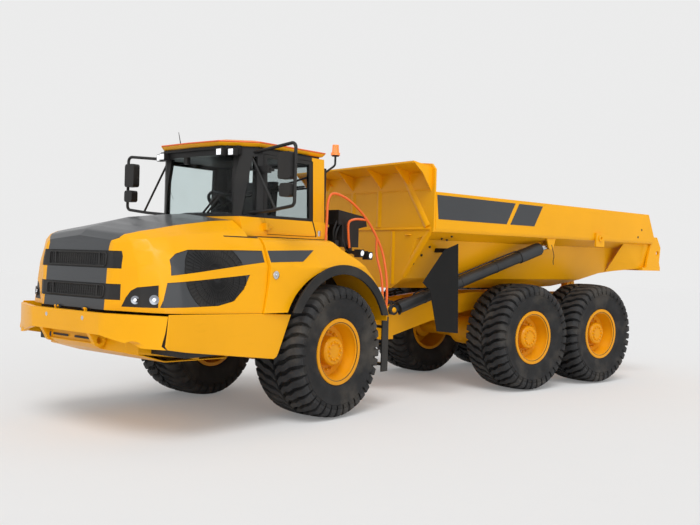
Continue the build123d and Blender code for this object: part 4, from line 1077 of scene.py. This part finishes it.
class TRUCK_OT_lamps(bpy.types.Operator):
    """Lamp bowls and lenses on the brow, the rear deck and the hood's corners"""

    bl_idname = "truck.lamps"
    bl_label = "Lamps"

    def execute(self, context):
        lenses, bezels = Mesh(), Mesh()
        for x, y in BROW_LAMPS:
            lenses.box((x, y - 0.036, BROW_LOW), (x + 0.006, y + 0.036, BROW_HIGH))
        wide, ahead = DECK_LAMP_RADIUS, DECK_LAMP_AHEAD
        rim = wide * 1.18
        for place in DECK_LAMPS:
            lenses.lathe([(0.0, wide), (0.006, wide * 0.97), (0.012, wide * 0.6), (0.013, 0)], place, ahead)
            bezels.lathe([(0.0, rim), (0.008, rim), (0.008, wide), (0.0, wide)], place, ahead)
        fit_both("work_lenses", lenses, "glass", "front_unit", "lamp_lens")
        fit_both("deck_bezels", bezels, "black_plastic", "front_unit")

        housing = Surface("hood", "headlamps")
        bowls, bulbs = Mesh(), Mesh()
        view, ahead = Vector(HEADLAMP_VIEW), Vector(HEADLAMP_AHEAD)
        for x, z, radius in HEADLAMPS:
            place = housing.place(Vector((x, HEADLAMP_SIDE, z)) + view * 2.0, -view) + ahead * 0.001
            bowl = [(along, share * radius) for along, share in HEADLAMP_BOWL]
            bowls.lathe(bowl, place, ahead, 32)
            bulbs.lathe([(0.004, radius * 0.4), (0.014, radius * 0.36), (0.02, 0)], place, ahead)
        fit_both("headlamp_bowls", bowls, "rod_chrome", "hood", "lamp_bowl")
        fit_both("headlamp_bulbs", bulbs, "glass", "hood", "lamp_lens")
        return {"FINISHED"}


# Arms of the wiper (y, z), the aerial with its radii, and the mirrors' panes (z, height, width)
WIPER_ARMS = (((0.16, 2.4), (0.6, 2.8)), ((0.235, 2.4), (0.635, 2.775)))
AERIAL = ((1.03, -0.3, 3.2), (1.05, -0.3, 3.255), (1.06, -0.326, 3.385))
AERIAL_RADII = (0.01, 0.006, 0.003)
MIRROR_PANES = ((2.91, 0.3, 0.19), (2.64, 0.15, 0.16))
# Outer edge (y), rim, and back and front (x) of the panes
MIRROR_EDGE, MIRROR_RIM, MIRROR_FACE = 1.486, 0.014, (0.8935, 0.8975)
WIPER_RADIUS = 0.013
WIPER_TIP, WIPER_RUN = (0.6, 2.8), (0.58, 0.81)
CAMERA_BOX = ((1.02, -0.2, 2.985), (1.07, -0.14, 3.07))


class TRUCK_OT_cab_trim(bpy.types.Operator):
    """Wiper, aerial, camera and mirror glass"""

    bl_idname = "truck.cab_trim"
    bl_label = "Cab trim"

    def execute(self, context):
        trim = Mesh()
        screen = Surface("front_unit", "cab_glass")
        for low, high in WIPER_ARMS:
            bend = [(low[index] + high[index]) / 2 for index in (0, 1)]
            arm = [screen.front(*low, 0.03), screen.front(*bend, 0.045), screen.front(*high, 0.03)]
            trim.tube(arm, WIPER_RADIUS)
        ends = [Vector(WIPER_TIP) + Vector(WIPER_RUN) * reach for reach in (-0.42, 0.16)]
        trim.tube([screen.front(*end, 0.014) for end in ends], WIPER_RADIUS, 6)
        trim.tube(AERIAL, AERIAL_RADII)
        trim.box(*CAMERA_BOX)
        fit_piece("cab_fittings", trim, "black_plastic", "front_unit")

        glass = Mesh()
        for z, high, wide in MIRROR_PANES:
            low = (MIRROR_FACE[0], MIRROR_EDGE - wide + MIRROR_RIM, z - high / 2 + MIRROR_RIM)
            glass.box(low, (MIRROR_FACE[1], MIRROR_EDGE - MIRROR_RIM, z + high / 2 - MIRROR_RIM))
        fit_both("mirror_glass", glass, "rod_chrome", "front_unit", "mirror")
        return {"FINISHED"}


def rounded(points, steps=6):
    """A smooth path through the points."""
    points = [Vector(point) for point in points]
    padded = [points[0] * 2 - points[1]] + points + [points[-1] * 2 - points[-2]]
    path = []
    for before, start, end, after in zip(padded, padded[1:], padded[2:], padded[3:]):
        for step in range(steps):
            t = step / steps
            path.append(0.5 * (
                2 * start + (end - before) * t + (2 * before - 5 * start + 4 * end - after) * t * t
                + (3 * start - before - 3 * end + after) * t * t * t
            ))
    return path + [points[-1]]


# Rails on the left of the rear deck
RAIL_PATHS = (
    ((-0.185, 1.01, 2.08), (-0.198, 1.01, 2.4), (-0.215, 1.012, 2.62), (-0.3, 1.04, 2.706),
     (-0.52, 1.12, 2.62), (-0.76, 1.2, 2.4), (-0.96, 1.27, 2.08), (-1.005, 1.33, 1.79),
     (-1.0, 1.368, 1.5), (-0.985, 1.37, 1.173)),
    ((-0.905, 1.252, 2.19), (-0.93, 1.24, 1.96), (-0.935, 1.33, 1.64), (-0.935, 1.362, 1.173)),
    ((-0.76, 1.2, 2.4), (-0.66, 1.09, 2.405), (-0.604, 1.03, 2.36), (-0.612, 1.02, 2.22),
     (-0.64, 1.02, 2.04)),
)
RAIL_RADIUS = 0.016


class TRUCK_OT_handrails(bpy.types.Operator):
    """Handrails bent in smooth curves"""

    bl_idname = "truck.handrails"
    bl_label = "Handrails"

    def execute(self, context):
        rails = Mesh()
        for path in RAIL_PATHS:
            rails.tube(rounded(path, 8), RAIL_RADIUS, 12)
        rails.mirror()
        mesh = rails.mesh("rails")
        mesh.transform(FRONT_FRAME)
        finish = FINISHES["orange_paint"]
        add_piece("rails", mesh, finish, "front_unit", ("handrails",), 60.0)
        return {"FINISHED"}


# Lower and upper edges of the openings in the nose
NOSE_OPENINGS = ((1.43, 1.59), (1.745, 1.922))
# Radii of the wires and the frame, the frame's inset, and its half width
NOSE_WIRE, NOSE_FRAME = 0.0028, 0.008
NOSE_INSET, NOSE_HALF = 0.02, 0.515


class TRUCK_OT_grille_mesh(bpy.types.Operator):
    """Frames and bars in the two openings of the nose"""

    bl_idname = "truck.grille_mesh"
    bl_label = "Nose mesh"

    def execute(self, context):
        face = Surface("hood", "grilles")
        bars = Mesh()
        for low, high in NOSE_OPENINGS:
            for row in range(1, 6):
                z = low + (high - low) * row / 6
                bars.tube([face.front(0.1 * step - 0.5, z, 0.003) for step in range(11)], NOSE_WIRE, 4)
            for column in range(-12, 13):
                ends = [face.front(column * 0.04, z, 0.004) for z in (low + 0.022, high - 0.022)]
                bars.tube(ends, NOSE_WIRE, 4)
            foot, head = low + NOSE_INSET, high - NOSE_INSET
            half = [(-NOSE_HALF, foot + 0.02), (0.02 - NOSE_HALF, foot)]
            half += [(0.12 * step - 0.48, foot) for step in range(9)]
            half += [(NOSE_HALF - 0.02, foot), (NOSE_HALF, foot + 0.02)]
            loop = half + [(-y, foot + head - z) for y, z in half] + half[:1]
            bars.tube([face.front(y, z, 0.005) for y, z in loop], NOSE_FRAME, 6)
            for y in (-0.4, 0.4):
                x = face.front(y, (low + high) / 2).x
                bars.box((x, y - 0.012, foot), (x + 0.009, y + 0.012, head))
        fit_piece("nose_bars", bars, "black_plastic", "hood")
        return {"FINISHED"}


# Outline of a web at the tub's tail
TAIL_WEB = (
    (-6.5, 1.36, 2.27), (-6.62, 0.93, 1.79), (-6.98, 1.345, 1.862), (-7.38, 1.345, 1.882),
    (-7.38, 1.345, 2.4), (-7.1, 1.4, 2.395),
)
WEB_THICKNESS = 0.012
# Plate and ring round the hoist's pin on the side: corners, place and section (along, radius)
PIVOT_PLATE = ((-5.79, 1.452, 2.195), (-5.575, 1.482, 2.412))
PIVOT_PLACE = (-5.683, 1.48, 2.33)
PIVOT_RING = ((0.0, 0.052), (0.02, 0.052), (0.02, 0.026), (0.0, 0.026))
# Ribs on the headboard: start and end (y, z), width, height
BOARD_RIBS = (
    ((0.86, 3.02), (1.32, 2.36), 0.13, 0.026),
    ((1.36, 2.3), (0.84, 1.68), 0.11, 0.005),
    ((0.3, 2.88), (0.3, 2.36), 0.12, 0.022),
    ((0.62, 2.3), (0.62, 1.56), 0.1, 0.018),
)
CROSS_RIBS = (
    ((-1.38, 2.33), (1.38, 2.33), 0.05, 0.016),
    ((-1.36, 2.86), (1.36, 2.86), 0.03, 0.01),
)
RIB_SINK = 0.004
# Lifting eye: place (y, z), height and half width of its bow, radius of its bar
LIFTING_EYE = (0.94, 2.252)
EYE_HEIGHT, EYE_HALF, EYE_BAR = 0.016, 0.055, 0.01


class TRUCK_OT_plates(bpy.types.Operator):
    """Folded webs, wear plates and ribs on the load body"""

    bl_idname = "truck.plates"
    bl_label = "Body plates"

    def execute(self, context):
        webs = Mesh()
        webs.face_loop([TAIL_WEB, [(x, y - WEB_THICKNESS, z) for x, y, z in TAIL_WEB]])
        webs.box(*PIVOT_PLATE)
        webs.lathe(PIVOT_RING, PIVOT_PLACE, LEFT)
        fit_both("tail_webs", webs, "yellow_paint", "dump_body")

        board = Surface("dump_body", "headboard", "dump_tub")
        ribs = Mesh()

        def rib(start, end, width, height):
            """A bar with chamfered sides between two places on the headboard."""
            ends = [board.front(*start), board.front(*end)]
            side = (ends[1] - ends[0]).cross(Vector((1, 0, 0))).normalized() * width / 2
            out, sunk = Vector((height, 0, 0)), Vector((-RIB_SINK, 0, 0))
            section = [sunk - side, out - side * 0.25, out + side * 0.25, sunk + side]
            ribs.face_loop([[place + offset for offset in section] for place in ends])

        for settings in BOARD_RIBS:
            rib(*settings)
        place = board.front(*LIFTING_EYE, -0.002)
        bow = [
            place + Vector((EYE_HEIGHT * math.sin(turn), EYE_HALF * math.cos(turn), 0.0))
            for turn in (math.pi * step / 8 for step in range(9))
        ]
        ribs.tube(bow, EYE_BAR)
        ribs.mirror()
        for settings in CROSS_RIBS:
            rib(*settings)
        fit_piece("board_ribs", ribs, "yellow_paint", "dump_body")
        return {"FINISHED"}


# The skid pan's rim from the front: its outline (x, y) and the pan's height (x, z)
SKID_RIM = ((2.668, 0.384), (2.548, 0.392), (2.49, 0.676), (2.4, 0.776), (1.6, 0.776))
SKID_LEVEL = ((2.7, 0.99), (2.57, 0.925), (2.345, 0.868), (2.06, 0.785), (1.2, 0.762))
# Highest top, height and thickness of the walls on it
SKID_TOP, SKID_WALL, SKID_PLATE = 1.085, 0.23, 0.008
# Sections of a bumper stud and a filler cap (along, radius), and corners of the small boxes
STUD = ((-0.003, 0.022), (0.001, 0.022), (0.002, 0.016), (0.002, 0))
FILLER_CAP = ((-0.004, 0.046), (0.012, 0.046), (0.016, 0.04), (0.016, 0.02), (0.024, 0.016), (0.025, 0))
FRONT_WALL = ((2.65, -0.384, 0.965), (2.66, 0.384, 1.075))
# The skid slot is a thin black plate on the pan's front: painted shade inside the slot
SKID_SLOT = ((2.669, 0.06, 1.012), (2.672, 0.34, 1.034))
SILL_SEAL = ((-0.268, 0.8, 2.1185), (1.04, 0.968, 2.1295))
# Places of the stud (y, z) and the cap (x, z); the lock plate's middle (x, z), half sizes and thickness
STUD_PLACE, CAP_PLACE = (0.33, 1.235), (1.0, 1.701)
LATCH, LATCH_HALF, LATCH_LIFT = (-0.11, 2.2), (0.023, 0.032), 0.006
# Corners (x, z) of the strip along the hood's foot
HOOD_STRIP = ((1.53, 2.116), (1.064, 2.116), (1.064, 2.103), (1.53, 2.106))


def skid_level(x):
    """Height of the skid pan's edge at x."""
    for (x0, z0), (x1, z1) in zip(SKID_LEVEL, SKID_LEVEL[1:]):
        if x >= x1:
            break
    return z1 + (z0 - z1) * (x - x1) / (x0 - x1)


class TRUCK_OT_front_trim(bpy.types.Operator):
    """Skid walls, studs, slots, seals, filler caps and the cab's lock plate"""

    bl_idname = "truck.front_trim"
    bl_label = "Front trim"

    def execute(self, context):
        walls = Mesh()
        for (x0, y0), (x1, y1) in zip(SKID_RIM, SKID_RIM[1:]):
            inward = Vector((y0 - y1, x1 - x0, 0)).normalized() * SKID_PLATE
            rings = []
            for x, y in ((x0, y0), (x1, y1)):
                z = skid_level(x) - 0.004
                foot, head = Vector((x, y, z)), Vector((x, y, min(SKID_TOP, z + SKID_WALL)))
                rings.append([foot, head, head + inward, foot + inward])
            walls.face_loop(rings)
        walls.mirror()
        walls.box(*FRONT_WALL)
        fit_piece("skid_walls", walls, "yellow_paint", "front_unit")

        place = Surface("front_unit", "bumper").front(*STUD_PLACE)
        fit_both("bumper_studs", Mesh().lathe(STUD, place, (1, 0, 0), 20), "rod_chrome", "front_unit")
        place = Surface("front_unit", "fenders").left(*CAP_PLACE)
        fit_both("filler_caps", Mesh().lathe(FILLER_CAP, place, LEFT, 28), "rod_chrome", "front_unit")
        # The black plate for the slot is painted shade
        fit_both("skid_slots", Mesh().box(*SKID_SLOT), "black_plastic", "front_unit")
        fit_both("sill_seals", Mesh().box(*SILL_SEAL), "rubber", "front_unit")
        strips = Mesh()
        Surface("hood", "hood_shell").patch(strips, HOOD_STRIP, 10, 1)
        fit_both("hood_strips", strips, "rubber", "hood")
        (x, z), (wide, high) = LATCH, LATCH_HALF
        y = Surface("front_unit", "cab_shell").left(x, z).y
        latch = Mesh().box((x - wide, y - PLATE_SINK, z - high), (x + wide, y + LATCH_LIFT, z + high))
        fit_piece("lock_plate", latch, "rod_chrome", "front_unit")
        return {"FINISHED"}


# Bolts on the wheel shields: height, and places (x, z)
BOLT_HEIGHT = 0.014
SHIELD_BOLTS = (
    (-2.539, 2.25), (-2.459, 2.216), (-2.6, 2.204), (-2.356, 2.096), (-2.251, 1.978), (-2.143, 1.861),
)
# A hoist's line, its collars (start along it, radius, length) and its pipe (along, out) on top
HOIST_FOOT, HOIST_HEAD = (-1.95, 0.78, 1.207), (-4.55, 1.33, 2.183)
COLLARS = ((0.5, 0.091, 0.03), (1.15, 0.091, 0.03), (1.8, 0.091, 0.03), (2.26, 0.099, 0.4))
FEED_PIPE = ((0.4, 0.075), (0.45, 0.106), (0.9, 0.108), (1.5, 0.108), (2.18, 0.108), (2.3, 0.096))
COLLAR_EDGE, COLLAR_RISE, PIPE_RADIUS = 0.006, 0.012, 0.012
PIPE_UP, PIPE_OUTWARD = 0.85, 0.53
# Hoses and cables: radius and bends
FRAME_HOSES = (
    (0.017, ((-2.02, 0.4, 1.24), (-1.98, 0.56, 1.34), (-1.96, 0.7, 1.3), (-1.99, 0.78, 1.17))),
    (0.017, ((-2.1, 0.4, 1.22), (-2.06, 0.6, 1.31), (-2.04, 0.74, 1.26), (-2.06, 0.8, 1.14))),
    (0.013, ((-2.16, 0.44, 1.16), (-2.2, 0.52, 1.3), (-2.5, 0.52, 1.36), (-2.9, 0.5, 1.38),
             (-3.2, 0.46, 1.42))),
    (0.013, ((-2.16, 0.44, 1.12), (-2.22, 0.5, 1.24), (-2.52, 0.5, 1.31), (-2.92, 0.48, 1.345),
             (-3.2, 0.45, 1.38))),
)
DECK_HOSES = (
    (0.013, ((-0.45, 0.94, 2.12), (-0.44, 0.96, 2.22), (-0.5, 0.965, 2.33), (-0.6, 0.95, 2.36),
             (-0.66, 0.93, 2.26))),
    (0.013, ((-0.43, 0.93, 2.12), (-0.4, 0.95, 2.25), (-0.47, 0.96, 2.39), (-0.6, 0.94, 2.42),
             (-0.7, 0.92, 2.28))),
    (0.01, ((-0.56, 0.93, 2.18), (-0.55, 0.99, 2.12), (-0.58, 1.0, 2.03), (-0.66, 1.02, 1.97))),
    (0.01, ((-0.6, 0.93, 2.16), (-0.62, 0.99, 2.1), (-0.66, 1.0, 2.02), (-0.72, 1.03, 1.96))),
)
HOIST_CABLE = (
    (-4.5, 1.455, 2.19), (-4.522, 1.462, 2.116), (-4.548, 1.466, 2.02), (-4.54, 1.46, 1.95),
    (-4.554, 1.455, 1.892),
)
DECK_BOXES = (
    ((-0.62, 0.88, 2.05), (-0.52, 0.975, 2.19)),
    ((-0.6, 0.895, 2.23), (-0.53, 0.965, 2.3)),
    ((-0.47, 0.9, 2.06), (-0.4, 0.98, 2.13)),
)
# Holes in the tub's tail (x, z), drawn as flat black discs: painted shade inside the holes
TAIL_HOLES = ((-6.876, 2.513), (-6.774, 2.388))
# Tail lamp: middle (y, z), half sizes, depth, a lens's offset and its section (along, radius)
TAIL_LAMP, TAIL_LAMP_HALF = (0.34, 1.29), (0.105, 0.065)
TAIL_LAMP_DEPTH, TAIL_LENS_OFFSET = 0.05, 0.05
TAIL_LENS = ((0.046, 0.04), (0.056, 0.038), (0.062, 0.02), (0.063, 0.0))


def bundle(hoses):
    """A mesh of hoses from a table of radii and bends."""
    shape = Mesh()
    for radius, bends in hoses:
        shape.tube(rounded(bends), radius)
    return shape


class TRUCK_OT_body_trim(bpy.types.Operator):
    """Bolts, hoses and pipes, the gear on the deck and the tail lamps"""

    bl_idname = "truck.body_trim"
    bl_label = "Body trim"

    def execute(self, context):
        shields = Surface("dump_body", "wheel_shields", "dump_tub", "headboard")
        spots = []
        for x, z in SHIELD_BOLTS:
            y = shields.left(x, z).y
            spots += [((x, y, z), LEFT), ((x, -y, z), RIGHT)]
        black = FINISHES["black_paint"]
        bolts = spread_on_spots(spots, bolt_mesh(sizes().bolt_radius, BOLT_HEIGHT), black)
        bolts.transform(REAR_FRAME)
        add_piece("shield_bolts", bolts, black, "dump_body")

        for side, hand in (("left", 1), ("right", -1)):
            self.pipe_hoist(side, hand)
        fit_both("frame_hoses", bundle(FRAME_HOSES), "rubber", "rear_unit")
        fit_piece("deck_hoses", bundle(DECK_HOSES), "rubber", "front_unit")
        gear = Mesh()
        for corners in DECK_BOXES:
            gear.box(*corners)
        fit_piece("deck_boxes", gear, "black_plastic", "front_unit")

        fit_both("hoist_cables", Mesh().tube(rounded(HOIST_CABLE), 0.006, 6), "rubber", "dump_body")
        # Flat black discs stand in for the holes: painted shade
        holes = Mesh()
        tub = Surface("dump_body", "dump_tub")
        for spot in TAIL_HOLES:
            holes.lathe([(-0.002, 0.019), (0.001, 0.019)], tub.left(*spot), LEFT, 20)
        fit_both("tail_holes", holes, "black_paint", "dump_body")

        (y, z), (wide, high) = TAIL_LAMP, TAIL_LAMP_HALF
        x = Surface("rear_unit", "rear_frame").place((-9.0, y, z + 0.01), (1, 0, 0)).x
        back = x - TAIL_LAMP_DEPTH
        lamps = Mesh().box((back, y - wide, z - high), (x + 0.004, y + wide, z + high))
        lenses = Mesh()
        for offset in (-TAIL_LENS_OFFSET, TAIL_LENS_OFFSET):
            lenses.lathe(TAIL_LENS, (x, y + offset, z), (-1, 0, 0))
        fit_both("tail_lamps", lamps, "black_plastic", "rear_unit")
        fit_both("tail_lenses", lenses, "glass", "rear_unit", "tail_lens")
        return {"FINISHED"}

    def pipe_hoist(self, side, hand):
        """Collars and a feed pipe on one hoist's barrel."""
        foot, head = (Vector((x, hand * y, z)) for x, y, z in (HOIST_FOOT, HOIST_HEAD))
        along = (head - foot).normalized()
        above = Vector((0.0, 0.0, 1.0))
        above = (above - along * above.dot(along)).normalized()
        lean = (above * PIPE_UP - along.cross(above) * hand * PIPE_OUTWARD).normalized()
        pipes = Mesh()
        for start, radius, length in COLLARS:
            end, low = start + length, radius - COLLAR_RISE
            face = [(start + COLLAR_EDGE, radius), (end - COLLAR_EDGE, radius)]
            pipes.lathe([(start, low), *face, (end, low)], foot, along, 32)
        path = [foot + along * reach + lean * out for reach, out in FEED_PIPE]
        pipes.tube(rounded(path, 5), PIPE_RADIUS)
        body = frame["nodes"]["hoist_barrel_" + side]["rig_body"]
        fit_piece("hoist_pipe_" + side, pipes, "cylinder_paint", body)


class TRUCK_PT_panel(bpy.types.Panel):
    """Buttons for each group of pieces"""

    bl_idname = "TRUCK_PT_panel"
    bl_label = "Dump truck"
    bl_space_type = "VIEW_3D"
    bl_region_type = "UI"
    bl_category = "Dump truck"

    def draw(self, context):
        for name in ("truck_colours", "truck_sizes", "truck_stage"):
            group = getattr(context.scene, name)
            column = self.layout.column()
            for key in group.__annotations__:
                column.prop(group, key)
        for operator in OPERATORS:
            self.layout.operator(operator.bl_idname)


SETTINGS = (
    (TruckColours, "truck_colours"),
    (TruckSizes, "truck_sizes"),
    (TruckStage, "truck_stage"),
)
OPERATORS = (
    TRUCK_OT_stage,
    TRUCK_OT_finishes,
    TRUCK_OT_tyres,
    TRUCK_OT_wheel_nuts,
    TRUCK_OT_skins,
    TRUCK_OT_bands,
    TRUCK_OT_guards,
    TRUCK_OT_lamps,
    TRUCK_OT_cab_trim,
    TRUCK_OT_handrails,
    TRUCK_OT_grille_mesh,
    TRUCK_OT_plates,
    TRUCK_OT_front_trim,
    TRUCK_OT_body_trim,
)


def register():
    for group, name in SETTINGS:
        bpy.utils.register_class(group)
        setattr(bpy.types.Scene, name, PointerProperty(type=group))
    for operator in OPERATORS:
        bpy.utils.register_class(operator)
    bpy.utils.register_class(TRUCK_PT_panel)


def unregister():
    bpy.utils.unregister_class(TRUCK_PT_panel)
    for operator in reversed(OPERATORS):
        bpy.utils.unregister_class(operator)
    for group, name in reversed(SETTINGS):
        delattr(bpy.types.Scene, name)
        bpy.utils.unregister_class(group)


def main():
    register()
    for operator in OPERATORS:
        family, name = operator.bl_idname.split(".")
        getattr(getattr(bpy.ops, family), name)()


if __name__ == "__main__":
    main()
